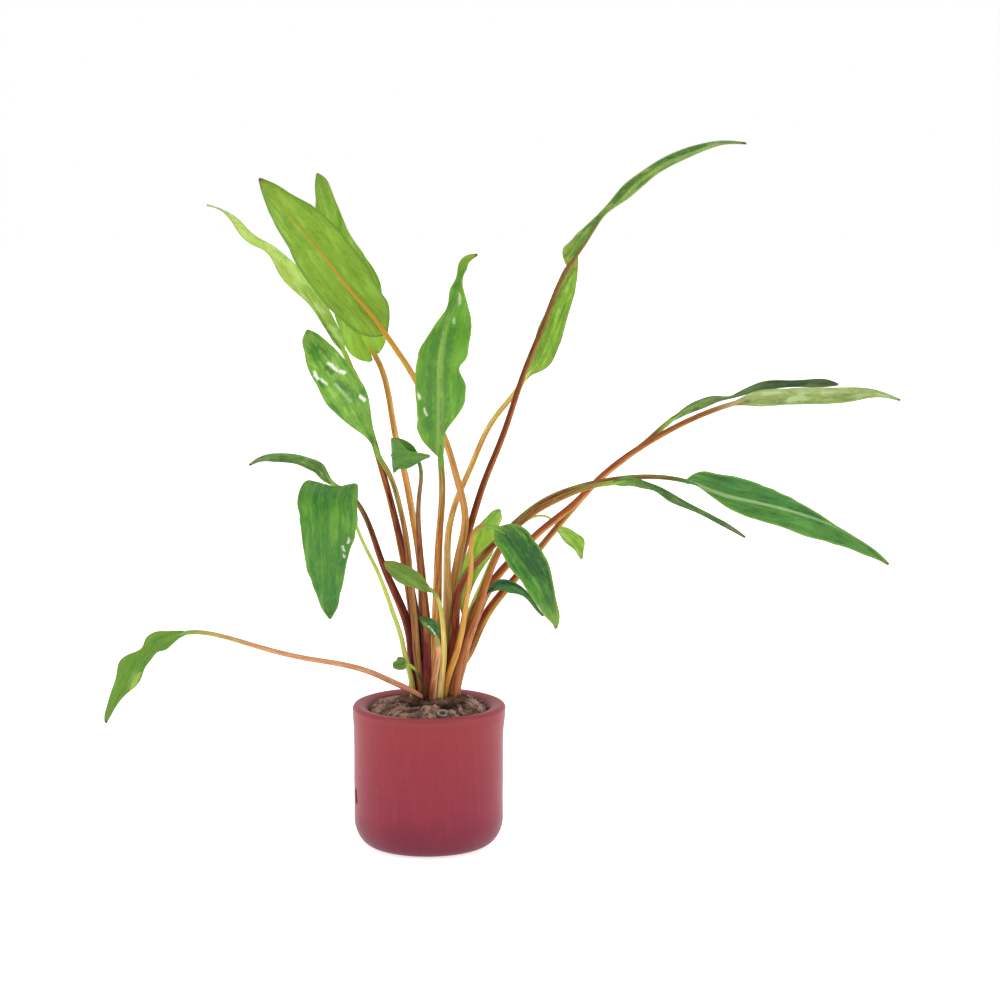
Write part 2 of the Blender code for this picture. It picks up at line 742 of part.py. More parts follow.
def tube(line, radii, sides, end_directions=None):
    """Points and faces of a round tube along a line, closed by flat ends."""
    tangents = unit(np.gradient(line, axis=0))
    if end_directions is not None:
        tangents[0], tangents[-1] = end_directions
    across = unit(np.cross(tangents[0], (0.3, 1.0, 0.1)))
    points = []
    for place, tangent, radius in zip(line, tangents, radii):
        across = unit(across - tangent * np.dot(across, tangent))
        other = np.cross(tangent, across)
        for side in range(sides):
            angle = 2 * math.pi * side / sides
            points.append(place + radius * (across * math.cos(angle) + other * math.sin(angle)))
    rings = len(line)
    faces = [tuple(range(sides)), tuple((rings - 1) * sides + i for i in range(sides))]
    for ring in range(rings - 1):
        low = ring * sides
        for side in range(sides):
            after = (side + 1) % sides
            faces.append((low + side, low + after, low + sides + after, low + sides + side))
    return points, faces


def leaf_lines(leaf):
    """The fine lines of a leaf's stalk and of its blade's rib."""
    foot = (*leaf.foot, CROWN_TOP_MM + GAP_MM)
    return smooth_route((foot, *leaf.stalk, *leaf.rib), len(leaf.stalk))


def half_widths(leaf, fractions):
    """Half widths of the blade, left and right, at fractions of its length."""
    stations = np.array(leaf.halves, dtype=float)
    fine = spline_at(stations[:, 0], stations[:, 1:], fractions)
    plain = np.stack([np.interp(fractions, stations[:, 0], stations[:, 1 + side])
                      for side in (0, 1)], axis=1)
    highest = plain * WIDTH_ABOVE + WIDTH_ABOVE_MM
    return np.clip(fine, plain * WIDTH_BELOW, highest)


def blade_shell(leaf, rib):
    """Points and faces of a blade as a thin closed shell."""
    line = evenly(rib, BLADE_ROWS + 1)
    tangents = unit(np.gradient(line, axis=0))
    tangents[0] = unit(rib[1] - rib[0])
    fractions = np.linspace(0.0, 1.0, BLADE_ROWS + 1)
    widths = half_widths(leaf, fractions)
    turns = np.radians(leaf.turn[0] + (leaf.turn[1] - leaf.turn[0]) * fractions)
    columns = 2 * BLADE_HALF_COLUMNS + 1
    faces_viewer = -1.0 if leaf.under else 1.0
    top, bottom = [], []
    for row, fraction in enumerate(fractions):
        tangent = tangents[row]
        if leaf.across:
            right = unit(np.array(leaf.across) - tangent * np.dot(leaf.across, tangent))
        else:
            right = unit(np.cross((0.0, 1.0, 0.0), tangent))
        away = np.cross(tangent, right)
        right = right * math.cos(turns[row]) + away * math.sin(turns[row])
        upper = np.cross(right, tangent) * faces_viewer
        wave = leaf.wave[0] * math.sin(2 * math.pi * leaf.wave[1] * fraction)
        wave *= min(1.0, 5 * fraction)
        for column in range(columns):
            place = column / BLADE_HALF_COLUMNS - 1
            half = widths[row][0] if place < 0 else widths[row][1]
            lift = math.tan(math.radians(leaf.fold)) * half * abs(place) ** FOLD_POWER
            lift += wave * place * abs(place)
            point = line[row] + right * half * place + upper * lift
            top.append(point + upper * BLADE_THICKNESS_MM / 2)
            bottom.append(point - upper * BLADE_THICKNESS_MM / 2)
    count = len(top)
    faces = []
    for row in range(BLADE_ROWS):
        for column in range(columns - 1):
            a = row * columns + column
            quad = (a, a + 1, a + columns + 1, a + columns)
            faces.append(quad)
            faces.append(tuple(count + i for i in reversed(quad)))
    rim = [row * columns for row in range(BLADE_ROWS)]
    rim += [BLADE_ROWS * columns + column for column in range(columns)]
    rim += [row * columns + columns - 1 for row in range(BLADE_ROWS - 1, -1, -1)]
    rim += list(range(columns - 2, 0, -1))
    for here, there in zip(rim, rim[1:] + rim[:1]):
        faces.append((here, there, count + there, count + here))
    return top + bottom, faces


def add_pot(material):
    """The pot: rounded foot, nearly upright wall and a rolled lip, open at the top."""
    lip = (POT_LIP_RADIUS_MM - POT_INNER_RADIUS_MM) / 2
    lip_centre = (POT_INNER_RADIUS_MM + lip, POT_HEIGHT_MM - POT_LIP_HEIGHT_MM / 2)
    foot = (POT_WALL_RADIUS_MM - POT_BASE_RADIUS_MM, POT_FOOT_CURVE_MM)
    profile = [(0.0, 0.0)]
    profile += arc((POT_BASE_RADIUS_MM, foot[1]), foot, -90, 0, 6)
    profile.append((POT_WALL_RADIUS_MM, POT_HEIGHT_MM - POT_LIP_HEIGHT_MM - 0.6))
    profile += arc(lip_centre, (lip, POT_LIP_HEIGHT_MM / 2), -10, 180, 6)
    inner_centre = (POT_INNER_RADIUS_MM - POT_INNER_CURVE_MM, POT_FLOOR_MM + POT_INNER_CURVE_MM)
    profile += arc(inner_centre, (POT_INNER_CURVE_MM, POT_INNER_CURVE_MM), 0, -90, 4)
    profile.append((0.0, POT_FLOOR_MM))
    add_object("pot", *turned(profile, POT_SIDES), material)


def plug_height(radius):
    """Height of the plug's top at a distance from the axis."""
    outer = POT_INNER_RADIUS_MM - GAP_MM
    share = min(1.0, max(0.0, (outer - radius) / (outer - PLUG_SEAT_RADIUS_MM)))
    return PLUG_EDGE_HEIGHT_MM + (PLUG_SEAT_HEIGHT_MM - PLUG_EDGE_HEIGHT_MM) * math.sqrt(share)


def add_plug(material):
    """The fibrous plug that fills the pot, with a flat seat for the crown."""
    outer = POT_INNER_RADIUS_MM - GAP_MM - 0.1
    curve = POT_INNER_CURVE_MM
    floor = POT_FLOOR_MM + GAP_MM
    profile = [(0.0, floor)]
    profile += arc((outer - curve, floor + curve), (curve, curve), -90, 0, 4)
    for radius in np.linspace(outer, PLUG_SEAT_RADIUS_MM, 5):
        profile.append((float(radius), plug_height(radius)))
    profile.append((0.0, PLUG_SEAT_HEIGHT_MM))
    add_object("growing_plug", *turned(profile, 24), material)


def add_crown(material):
    """The low cushion of rhizome that every stalk grows from."""
    bottom = PLUG_SEAT_HEIGHT_MM + GAP_MM
    profile = [(0.0, bottom), (0.86, bottom), (1.0, bottom + 1.2), (1.0, CROWN_TOP_MM - 1.0)]
    profile += [(0.93, CROWN_TOP_MM), (0.0, CROWN_TOP_MM)]
    add_object("crown", *turned(profile, 20, CROWN_HALF_SIZES_MM, CROWN_CENTRE_MM), material)


def root_on_plug(plan):
    """A root's line in space from its plan, lying a gap above the plug."""
    raised = []
    for x, y in plan:
        height = plug_height(math.hypot(x, y)) + ROOT_RADIUS_MM + 2 * GAP_MM
        raised.append((x, y, height))
    return raised


def add_roots(material):
    """Thin roots over the plug, and one that curls to a small ring."""
    for name, plan in ROOTS.items():
        line = evenly(smooth_route(root_on_plug(plan)), 7)
        radii = np.linspace(ROOT_RADIUS_MM, ROOT_RADIUS_MM * 0.6, len(line))
        add_object(name, *tube(line, radii, ROOT_SIDES), material)
    plan = []
    for turn_degrees in range(0, 331, 30):
        angle = math.radians(turn_degrees)
        plan.append((LOOP_ROOT_CENTRE_MM[0] + LOOP_ROOT_RADIUS_MM * math.cos(angle),
                     LOOP_ROOT_CENTRE_MM[1] + LOOP_ROOT_RADIUS_MM * math.sin(angle)))
    line = np.array(root_on_plug(plan))
    radii = np.full(len(line), ROOT_RADIUS_MM * 0.8)
    add_object("root_loop", *tube(line, radii, ROOT_SIDES), material)


def add_leaf(leaf, stalk_material, blade_material):
    """One leaf as a stalk tube and a blade shell, a small gap apart at the neck."""
    stalk, rib = leaf_lines(leaf)
    run = lengths_along(stalk)
    kept = stalk[run < run[-1] - GAP_MM]
    neck_direction = unit(rib[1] - rib[0])
    end = stalk[-1] - neck_direction * GAP_MM
    line = evenly(np.vstack([kept, end]), STALK_RINGS)
    radii = np.linspace(leaf.radii[0], leaf.radii[1], len(line))
    points, faces = tube(line, radii, STALK_SIDES, ((0.0, 0.0, 1.0), neck_direction))
    add_object("stalk_" + leaf.name, points, faces, stalk_material)
    add_object("blade_" + leaf.name, *blade_shell(leaf, rib), blade_material)


def main():
    """Build the pot, its fill and the plant."""
    clear_scene()
    glaze = make_material("crimson_glaze", "#9E444E", 0.38)
    plug = make_material("mineral_wool_and_peat", "#8A6F63", 0.95)
    rhizome = make_material("rhizome", "#8B5A35", 0.8)
    root = make_material("root", "#A98A74", 0.85)
    stalks = {hue: make_material("stalk_" + hue, colour, 0.5) for hue, colour in STALK_HUES.items()}
    blades = {hue: make_material("blade_" + hue, colour, 0.45) for hue, colour in BLADE_HUES.items()}
    add_pot(glaze)
    add_plug(plug)
    add_crown(rhizome)
    add_roots(root)
    for leaf in LEAVES:
        add_leaf(leaf, stalks[leaf.hues[0]], blades[leaf.hues[1]])


main()
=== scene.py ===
import sys
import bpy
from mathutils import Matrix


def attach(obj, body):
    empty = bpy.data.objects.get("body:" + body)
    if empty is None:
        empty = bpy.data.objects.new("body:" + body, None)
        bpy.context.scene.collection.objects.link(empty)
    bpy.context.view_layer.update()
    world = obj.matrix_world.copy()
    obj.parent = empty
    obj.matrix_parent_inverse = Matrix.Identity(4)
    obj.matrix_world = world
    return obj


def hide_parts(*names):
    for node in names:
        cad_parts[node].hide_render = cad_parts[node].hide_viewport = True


"""Potted cryptocoryne, dressed: leaves, stalks, crown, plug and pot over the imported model.

Lengths are in millimetres until a mesh is made. The pot stands on z = 0 with its axis on Z,
and the camera looks from -Y, a little from above.
"""
import logging
import math
from dataclasses import dataclass, field
from enum import Enum
from typing import Any

import bpy
import bmesh
import numpy as np

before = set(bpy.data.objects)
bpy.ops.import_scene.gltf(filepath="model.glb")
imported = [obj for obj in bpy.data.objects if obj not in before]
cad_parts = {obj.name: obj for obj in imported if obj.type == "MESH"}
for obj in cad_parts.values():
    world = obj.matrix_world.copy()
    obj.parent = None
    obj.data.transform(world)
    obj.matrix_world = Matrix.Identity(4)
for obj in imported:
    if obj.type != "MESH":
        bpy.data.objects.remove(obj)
LOG = logging.getLogger("cryptocoryne")

BODY = "root"

# Shared with the solids
POT_HEIGHT_MM = 55.0
POT_LIP_RADIUS_MM = 29.1
POT_WALL_RADIUS_MM = 28.6
POT_BASE_RADIUS_MM = 20.8
POT_FOOT_CURVE_MM = 11.0
POT_LIP_HEIGHT_MM = 3.2
POT_INNER_RADIUS_MM = 24.7
POT_FLOOR_MM = 4.0
POT_INNER_CURVE_MM = 8.0
GAP_MM = 0.3
PLUG_EDGE_HEIGHT_MM = 52.0
PLUG_SEAT_HEIGHT_MM = 55.5
PLUG_SEAT_RADIUS_MM = 16.5
CROWN_TOP_MM = 58.5
CROWN_CENTRE_MM = (2.3, -0.5)
CROWN_HALF_SIZES_MM = (13.9, 12.4)
ROOT_RADIUS_MM = 0.7
ROUTE_SAMPLES = 900
WIDTH_ABOVE = 1.25
WIDTH_ABOVE_MM = 0.2
WIDTH_BELOW = 0.75
FOLD_POWER = 1.3


@dataclass(frozen=True)
class LeafPlan:
    """The route and outline of one leaf, as the solids have them.

    The route runs from the foot through stalk to the neck, then rib to the tip. halves are
    half widths at fractions of the blade. turn swings the blade about its rib, fold lifts
    its halves towards the upper face, wave is the height and count of the margin's waves,
    under puts the underside in front, and across is its right half's direction if fixed.
    """

    name: str
    foot: tuple[float, float]
    radii: tuple[float, float]
    stalk: tuple[tuple[float, float, float], ...]
    rib: tuple[tuple[float, float, float], ...]
    halves: tuple[tuple[float, float, float], ...]
    turn: tuple[float, float]
    fold: float
    wave: tuple[float, float]
    under: bool
    across: tuple[float, float, float] | None
    hues: tuple[str, str]


LEAVES = (
    LeafPlan(
        name="lime_broad",
        foot=(1.6, 3.4),
        radii=(1.7, 1.1),
        stalk=(
            (9, 5, 95.5), (12.5, 5.5, 115), (14.5, 6, 127), (11.5, 7, 142), (7.5, 9, 155.5),
            (1, 11, 169.5), (-7.5, 14, 185), (-16.5, 17, 198),
        ),
        rib=(
            (-20.5, 18.5, 203.5), (-27.5, 20, 211.5), (-34, 21, 219.5), (-40.5, 22, 228),
            (-47, 23.5, 236), (-53.5, 25, 243), (-60, 27, 250.5), (-66, 29, 258),
        ),
        halves=(
            (0, 1.2, 1.2), (0.02, 4, 2.5), (0.05, 6.5, 4.5), (0.1, 8.5, 7.5), (0.18, 10, 9),
            (0.28, 11, 10.5),
            (0.4, 11.5, 11), (0.5, 11, 11), (0.6, 10, 10.5), (0.7, 8, 9.5), (0.8, 6.5, 7),
            (0.88, 4.5, 5), (0.95, 2.5, 2.8), (1, 0.5, 0.5),
        ),
        turn=(8, -8),
        fold=10,
        wave=(0.4, 2),
        under=True,
        across=None,
        hues=("tan", "lime"),
    ),
    LeafPlan(
        name="lime_behind",
        foot=(-2.4, 5.5),
        radii=(1.6, 1.1),
        stalk=(
            (-2, 8, 87), (-3, 12, 108), (-6.5, 17, 128.5), (-9.5, 21, 143.5), (-13, 25, 157),
            (-16, 29, 173.5), (-20, 33, 186), (-25, 36, 194.5),
        ),
        rib=(
            (-30.5, 39, 210), (-35, 43, 226), (-38.5, 46, 239.5), (-41.5, 49, 251.5),
            (-45, 52, 260),
        ),
        halves=(
            (0, 2.8, 2.5), (0.016, 5.5, 5.5), (0.032, 7, 7), (0.06, 8.2, 8.2), (0.1, 8.5, 8.5),
            (0.2, 8.5, 11), (0.35, 8.5, 12), (0.5, 8.5, 8.5), (0.6, 8, 6), (0.7, 7, 4.5),
            (0.8, 6, 3.5), (0.88, 4.5, 3), (0.95, 3, 2.5), (1, 0.5, 0.5),
        ),
        turn=(0, -14),
        fold=8,
        wave=(0.5, 2),
        under=True,
        across=None,
        hues=("tan", "lime"),
    ),
    LeafPlan(
        name="pale_narrow",
        foot=(-4.4, 1.6),
        radii=(1.7, 1.0),
        stalk=(
            (-4.5, 3, 80), (-7, 6, 99), (-11.5, 10, 120.5), (-15.5, 14, 136), (-20, 17, 151.5),
            (-26, 20, 172), (-30.5, 22, 185), (-33.5, 23.5, 191.5),
        ),
        rib=(
            (-40, 27, 200.5), (-45, 30, 208.5), (-50.5, 33, 216), (-55.5, 36, 222.5),
            (-60.5, 38, 228), (-65.5, 40, 232.5), (-71.5, 42, 237), (-76.5, 44, 242),
            (-82, 45, 245.5), (-88.5, 46, 247.5),
        ),
        halves=(
            (0, 1, 1), (0.04, 2, 2.5), (0.1, 1.5, 3.6), (0.18, 1.5, 4.6), (0.28, 2.5, 5),
            (0.4, 5, 4.4), (0.5, 5, 3.5), (0.6, 3, 2.5), (0.7, 4, 0.5), (0.8, 3.5, 0.5),
            (0.88, 2, 0.5), (0.95, 0.5, 0.5), (1, 0.5, 0.5),
        ),
        turn=(38, 38),
        fold=6,
        wave=(0.3, 3),
        under=False,
        across=None,
        hues=("maroon", "pale"),
    ),
    LeafPlan(
        name="speckled",
        foot=(-4.2, -2.9),
        radii=(1.3, 0.95),
        stalk=(
            (-4.5, -5, 81.5), (-6, -7, 101), (-7.5, -8, 118.5), (-10.5, -10, 135), (-15, -11, 148),
            (-18.5, -12, 154.5),
        ),
        rib=(
            (-19.5, -13, 158), (-22.5, -14.5, 164), (-26.5, -16.5, 171.5), (-31, -18, 179.5),
            (-36, -18.5, 187.5), (-40, -18, 194), (-44.5, -16, 201.5),
        ),
        halves=(
            (0, 1, 1), (0.04, 1, 0.5), (0.1, 1.5, 1), (0.18, 2.5, 2.5), (0.28, 5, 4.5),
            (0.4, 7.5, 7), (0.5, 8.5, 7.5), (0.6, 8, 7.5), (0.7, 7.5, 6.5), (0.8, 6.5, 5.5),
            (0.88, 5, 4), (0.95, 3.5, 2.5), (1, 0.5, 0.5),
        ),
        turn=(-12, 10),
        fold=8,
        wave=(0.5, 3),
        under=False,
        across=None,
        hues=("olive", "green"),
    ),
    LeafPlan(
        name="wavy_centre",
        foot=(3.4, -4.8),
        radii=(1.7, 1.2),
        stalk=(
            (3.5, -6, 81.5), (4, -8, 101.5), (5, -10, 125), (6, -11, 140.5), (5.5, -12, 153),
        ),
        rib=(
            (5.5, -14, 162.5), (5.5, -16, 171), (5.5, -18, 179.5), (5.5, -19, 188.5),
            (6.5, -19.5, 197), (8, -19, 204), (11.5, -18, 214), (13, -16, 221.5), (15, -13, 227),
            (19.5, -10, 229.5),
        ),
        halves=(
            (0, 1, 1), (0.06, 5.5, 1.5), (0.12, 8.5, 2), (0.18, 9, 5.5), (0.24, 9, 8.5),
            (0.3, 9.5, 9.5), (0.36, 9.5, 9), (0.42, 9.5, 7.5), (0.48, 9, 9.5), (0.55, 6.5, 9.5),
            (0.62, 4, 9.5), (0.7, 2.5, 7.5), (0.78, 3, 2.5), (0.84, 1.4, 1), (0.9, 2.3, 2.2), (0.96, 1.8, 1.6),
            (1, 0.5, 0.5),
        ),
        turn=(0, 24),
        fold=9,
        wave=(0.9, 4),
        under=False,
        across=None,
        hues=("olive", "green"),
    ),
    LeafPlan(
        name="small_triangle",
        foot=(-0.5, -5.2),
        radii=(1.6, 0.75),
        stalk=(
            (0, -5, 81.5), (-1.5, -4, 100.5), (-3, -3, 120), (-3, -2, 137.5), (-3.2, -1.5, 150),
        ),
        rib=(
            (-7, 0, 153.8), (-11.5, -1.5, 154), (-13.5, -5, 153), (-12.5, -9, 153.5),
            (-8, -12, 153.5), (-3, -13, 153.5), (1.5, -13, 153.5),
        ),
        halves=(
            (0, 1, 1), (0.1, 3.2, 2), (0.3, 5, 5.5), (0.45, 6.5, 6.5), (0.55, 6.5, 6.5),
            (0.64, 5.5, 5.5), (0.74, 5, 2.5), (0.85, 3, 1.5), (0.93, 1.5, 1), (1, 0.5, 0.5),
        ),
        turn=(0, 0),
        fold=2,
        wave=(0, 0),
        under=False,
        across=(0, 0, 1),
        hues=("olive", "dark"),
    ),
    LeafPlan(
        name="arching_left",
        foot=(-8.2, 0.3),
        radii=(1.6, 0.9),
        stalk=(
            (-6.5, 0, 80.5), (-11.5, 2, 96), (-18, 4, 111), (-25, 6, 129.5), (-32, 8, 137.5),
            (-37, 9, 140.5),
        ),
        rib=(
            (-39.5, 8, 144), (-42, 7, 147), (-45.5, 6, 148.5), (-50, 5, 150), (-55, 3, 151),
            (-59.5, 1, 151.5), (-64, -2, 151), (-68, -4, 149),
        ),
        halves=(
            (0, 1, 1), (0.08, 2.5, 1), (0.2, 3.5, 2), (0.4, 2.5, 2.5), (0.6, 2, 2), (0.8, 2, 1.5),
            (0.93, 1, 1), (1, 0.5, 0.5),
        ),
        turn=(39, 39),
        fold=5,
        wave=(0.2, 2),
        under=False,
        across=None,
        hues=("maroon", "dark"),
    ),
    LeafPlan(
        name="hanging_dark",
        foot=(-8.3, -4.2),
        radii=(1.0, 0.6),
        stalk=(
            (-10, -7, 82.5), (-13, -9, 92.5), (-17.5, -12, 106), (-21.5, -15, 115.5),
            (-26, -18, 126.5), (-28.5, -21, 136.5), (-31.5, -25, 143),
        ),
        rib=(
            (-34.5, -30, 143.5), (-35.5, -32, 141.5), (-35.5, -34, 133), (-36, -34, 122.5),
            (-36, -32, 107), (-36, -28, 93.5),
        ),
        halves=(
            (0, 1, 1), (0.04, 6, 7.5), (0.08, 8.5, 10.5), (0.135, 10.5, 11), (0.3, 11, 10.5),
            (0.4, 10.5, 10), (0.5, 9.5, 8.5), (0.61, 8.5, 7), (0.73, 6.5, 5.5), (0.84, 4.5, 4),
            (0.92, 3, 3), (0.97, 1.5, 1.5), (1, 0.5, 0.5),
        ),
        turn=(0, 0),
        fold=4,
        wave=(0.3, 2),
        under=True,
        across=(1, 0, 0),
        hues=("yellow", "dark"),
    ),
    LeafPlan(
        name="tall_arching",
        foot=(5.6, 3.9),
        radii=(1.7, 0.9),
        stalk=(
            (8, 8, 79), (11.5, 11.5, 106), (16, 12, 122), (22, 13, 141), (28.5, 14, 157),
            (37.5, 15, 183.5), (45.5, 16, 203.5), (54.5, 17, 224),
        ),
        rib=(
            (58, 17.5, 229), (62.5, 18, 235.5), (68.5, 19, 244.5), (73.5, 19.5, 249.5),
            (79.5, 20, 255.5), (88.5, 21, 262.5), (98.5, 22, 267), (107.5, 23, 270),
            (114.5, 23.5, 271.5), (123.5, 24, 271.5),
        ),
        halves=(
            (0, 1, 1), (0.04, 6, 0.5), (0.08, 6, 0.5), (0.14, 5, 0.5), (0.2, 3.5, 0.5),
            (0.26, 2, 0.5), (0.33, 2, 1.5), (0.42, 3, 3.5), (0.52, 2, 3.5), (0.62, 2, 3),
            (0.72, 2.5, 2.5), (0.82, 2, 1.5), (0.92, 1, 0.5), (1, 0.5, 0.5),
        ),
        turn=(-32, -36),
        fold=5,
        wave=(0.2, 3),
        under=False,
        across=None,
        hues=("maroon", "green"),
    ),
    LeafPlan(
        name="lime_under",
        foot=(3.5, -0.5),
        radii=(1.5, 1.0),
        stalk=(
            (7, 0, 80.5), (7.5, 3, 109.5), (8, 7, 121.5), (11, 11, 133.5), (16.5, 15, 146),
            (24.5, 18, 163), (33.5, 20, 174.5), (38, 22, 180.5),
        ),
        rib=(
            (41, 24, 184.5), (45.5, 26, 193.5), (49.5, 28, 205), (53.5, 31, 215), (56.5, 33, 223),
            (58.5, 35, 227.5),
        ),
        halves=(
            (0, 1, 1), (0.05, 1.5, 2), (0.1, 3, 4.5), (0.16, 3.5, 6.5), (0.25, 4, 7),
            (0.4, 4.5, 7), (0.6, 3.5, 6.5), (0.8, 3.5, 4.5), (0.93, 2, 2), (1, 0.5, 0.5),
        ),
        turn=(-30, -34),
        fold=10,
        wave=(0.4, 2),
        under=False,
        across=None,
        hues=("yellow", "lime"),
    ),
    LeafPlan(
        name="long_pale_right",
        foot=(9.6, 4.9),
        radii=(1.7, 1.0),
        stalk=(
            (15, 4, 79.5), (19.5, 4, 91.5), (26.5, 3, 104.5), (34, 2, 113), (42.5, 0, 122),
            (56.5, -3, 134), (66.5, -6, 144.5), (84, -9, 158), (103, -12, 168.5),
            (116.5, -13, 173.5),
        ),
        rib=(
            (125, -14, 175.5), (134.5, -15, 176.5), (146.5, -16.5, 177), (158, -18, 177.5),
            (167.5, -20, 178), (173.5, -21, 177), (178, -22, 175.5),
        ),
        halves=(
            (0, 1, 1), (0.06, 2, 2), (0.14, 3.5, 3.5), (0.25, 3.5, 4), (0.4, 3.5, 4),
            (0.55, 3.5, 4), (0.7, 3, 3.5), (0.83, 2, 2), (0.93, 1, 1), (1, 0.5, 0.5),
        ),
        turn=(-38, -38),
        fold=4,
        wave=(0, 0),
        under=True,
        across=None,
        hues=("maroon", "pale"),
    ),
    LeafPlan(
        name="dark_above_right",
        foot=(7.2, 8.9),
        radii=(1.6, 1.0),
        stalk=(
            (16, 10, 74.5), (21.5, 12, 86.5), (34.5, 15, 103), (45.5, 16, 116.5), (57.5, 16, 131),
            (67.5, 15, 142), (85, 12.5, 156.4), (94.5, 11, 165),
        ),
        rib=(
            (100, 10.5, 168.5), (106, 10, 171.5), (112.5, 9.5, 173.5), (117, 9, 174),
            (122, 9, 175.5), (128.5, 8.5, 178), (137, 7, 179.5), (146.5, 6, 180),
            (153.5, 4.5, 180), (158, 3, 179.5),
        ),
        halves=(
            (0, 1, 1), (0.06, 1.5, 1.5), (0.13, 2.5, 2), (0.2, 2.5, 2.5), (0.28, 2, 2),
            (0.36, 1, 1), (0.42, 2, 1), (0.5, 2.5, 1.5), (0.6, 2.5, 2), (0.72, 1.5, 2),
            (0.84, 2, 2.5), (0.94, 2, 2), (1, 0.5, 0.5),
        ),
        turn=(38, 38),
        fold=4,
        wave=(0.2, 2),
        under=False,
        across=None,
        hues=("maroon", "dark"),
    ),
    LeafPlan(
        name="broad_drooping",
        foot=(7.5, -0.1),
        radii=(1.7, 0.85),
        stalk=(
            (10.5, -3, 89), (12.5, -6, 102.5), (18, -9, 111), (25.5, -13, 119.5), (34.5, -17, 129),
            (45, -21, 137.5), (60.5, -26, 144), (78.5, -31, 147.5), (97, -36, 146.5),
        ),
        rib=(
            (102, -37.5, 145), (112, -39, 141.5), (123, -40, 139), (132, -41, 137),
            (144, -41, 133.5), (153.5, -41, 129.5), (163, -40, 123.5), (172.5, -37, 115.5),
        ),
        halves=(
            (0, 1, 1), (0.04, 5.5, 0.5), (0.1, 8, 1.5), (0.18, 9.5, 3.5), (0.28, 9.5, 6),
            (0.4, 7.5, 7), (0.5, 5, 7.5), (0.6, 2.5, 7.5), (0.7, 0.5, 6.5), (0.8, 0.5, 5),
            (0.88, 1, 3.5), (0.95, 1, 1.5), (1, 0.5, 0.5),
        ),
        turn=(26, 20),
        fold=10,
        wave=(0.3, 2),
        under=False,
        across=None,
        hues=("maroon", "dark"),
    ),
    LeafPlan(
        name="narrow_drooping",
        foot=(11.8, -3.4),
        radii=(1.6, 0.9),
        stalk=(
            (13.5, -4, 77), (19, -8, 93.5), (22.5, -12, 104.5), (27, -18, 116.5), (32.5, -23, 126),
            (41, -28, 134), (54, -34, 141.5), (66.5, -40, 146), (70, -41, 146.5),
        ),
        rib=(
            (74, -42.5, 147.5), (80, -44.5, 147), (85.5, -47, 145.5), (91.5, -49, 142.5),
            (98.5, -51, 138.5), (105, -52.5, 134.5), (111, -53.5, 131.5), (117.5, -54, 128),
        ),
        halves=(
            (0, 1, 1), (0.05, 2, 2.5), (0.1, 2.5, 2.5), (0.2, 1.5, 2.5), (0.3, 1, 2), (0.42, 1, 3),
            (0.55, 1, 2), (0.7, 2, 0.5), (0.85, 2, 0.5), (1, 0.5, 0.5),
        ),
        turn=(36, 36),
        fold=4,
        wave=(0, 0),
        under=False,
        across=None,
        hues=("tan", "green"),
    ),
    LeafPlan(
        name="front_hanging",
        foot=(7.6, -4.4),
        radii=(1.3, 0.8),
        stalk=(
            (10.5, -6, 73.5), (13.5, -9, 86.5), (15.5, -13, 100), (17, -17, 112), (17, -21, 119.5),
            (19, -25, 127), (22.5, -29, 129), (26, -31, 128.5),
        ),
        rib=(
            (29, -33, 127), (32.5, -34.5, 123), (36.5, -35.5, 117), (41, -36, 110.5),
            (44.5, -36, 104), (47.5, -34.5, 96.5), (49, -32, 90.5),
        ),
        halves=(
            (0, 1, 1), (0.04, 1.5, 4), (0.1, 5, 5), (0.18, 7.5, 5), (0.28, 8, 5.5), (0.4, 8, 5.5),
            (0.5, 7, 5), (0.6, 5.5, 5), (0.7, 4, 4.5), (0.8, 3, 3.5), (0.88, 2.5, 2.5),
            (0.95, 1.5, 1), (1, 0.5, 0.5),
        ),
        turn=(10, -8),
        fold=9,
        wave=(0.5, 2),
        under=False,
        across=None,
        hues=("tan", "dark"),
    ),
    LeafPlan(
        name="lime_upright",
        foot=(10.6, 0.9),
        radii=(1.4, 1.0),
        stalk=(
            (12.5, 1.5, 76), (13.5, 2, 83), (14.5, 2, 89),
        ),
        rib=(
            (15.5, 1, 96), (17.5, 0, 104), (20, 0, 112.5), (23, 1, 120.5), (25.5, 4, 127),
            (28, 7, 130.5),
        ),
        halves=(
            (0, 1, 1), (0.08, 2.5, 0.4), (0.18, 3.5, 0.5), (0.3, 5, 1), (0.45, 5.5, 2.5),
            (0.6, 5.5, 4), (0.75, 5.5, 3.5), (0.88, 3, 3), (0.95, 2, 2.5), (1, 0.5, 0.5),
        ),
        turn=(0, 8),
        fold=8,
        wave=(0.4, 2),
        under=False,
        across=None,
        hues=("tan", "lime"),
    ),
    LeafPlan(
        name="small_lime",
        foot=(3.4, 7.8),
        radii=(1.0, 0.45),
        stalk=(
            (11.5, 13, 74), (16, 20, 88), (21.5, 25, 100.5), (28, 29, 113.5), (35.5, 32, 120.5),
            (42, 34, 124.4), (47, 35, 124), (50.5, 35, 121),
        ),
        rib=(
            (53, 35, 118.5), (56.5, 34.5, 115), (59, 34, 112), (60.5, 32, 107.5),
        ),
        halves=(
            (0, 1, 1), (0.08, 1, 1.5), (0.2, 2, 2), (0.35, 3, 2.5), (0.5, 3.5, 2.5), (0.65, 4, 2),
            (0.8, 2, 1.5), (0.92, 1, 1), (1, 0.5, 0.5),
        ),
        turn=(8, 0),
        fold=8,
        wave=(0, 0),
        under=False,
        across=None,
        hues=("yellow", "lime"),
    ),
    LeafPlan(
        name="low_dark",
        foot=(14.0, 1.2),
        radii=(1.1, 0.7),
        stalk=(
            (15, -1, 76.5), (15.5, -3, 87), (17, -4, 92), (19.5, -5.5, 97), (23, -7.5, 100.5),
        ),
        rib=(
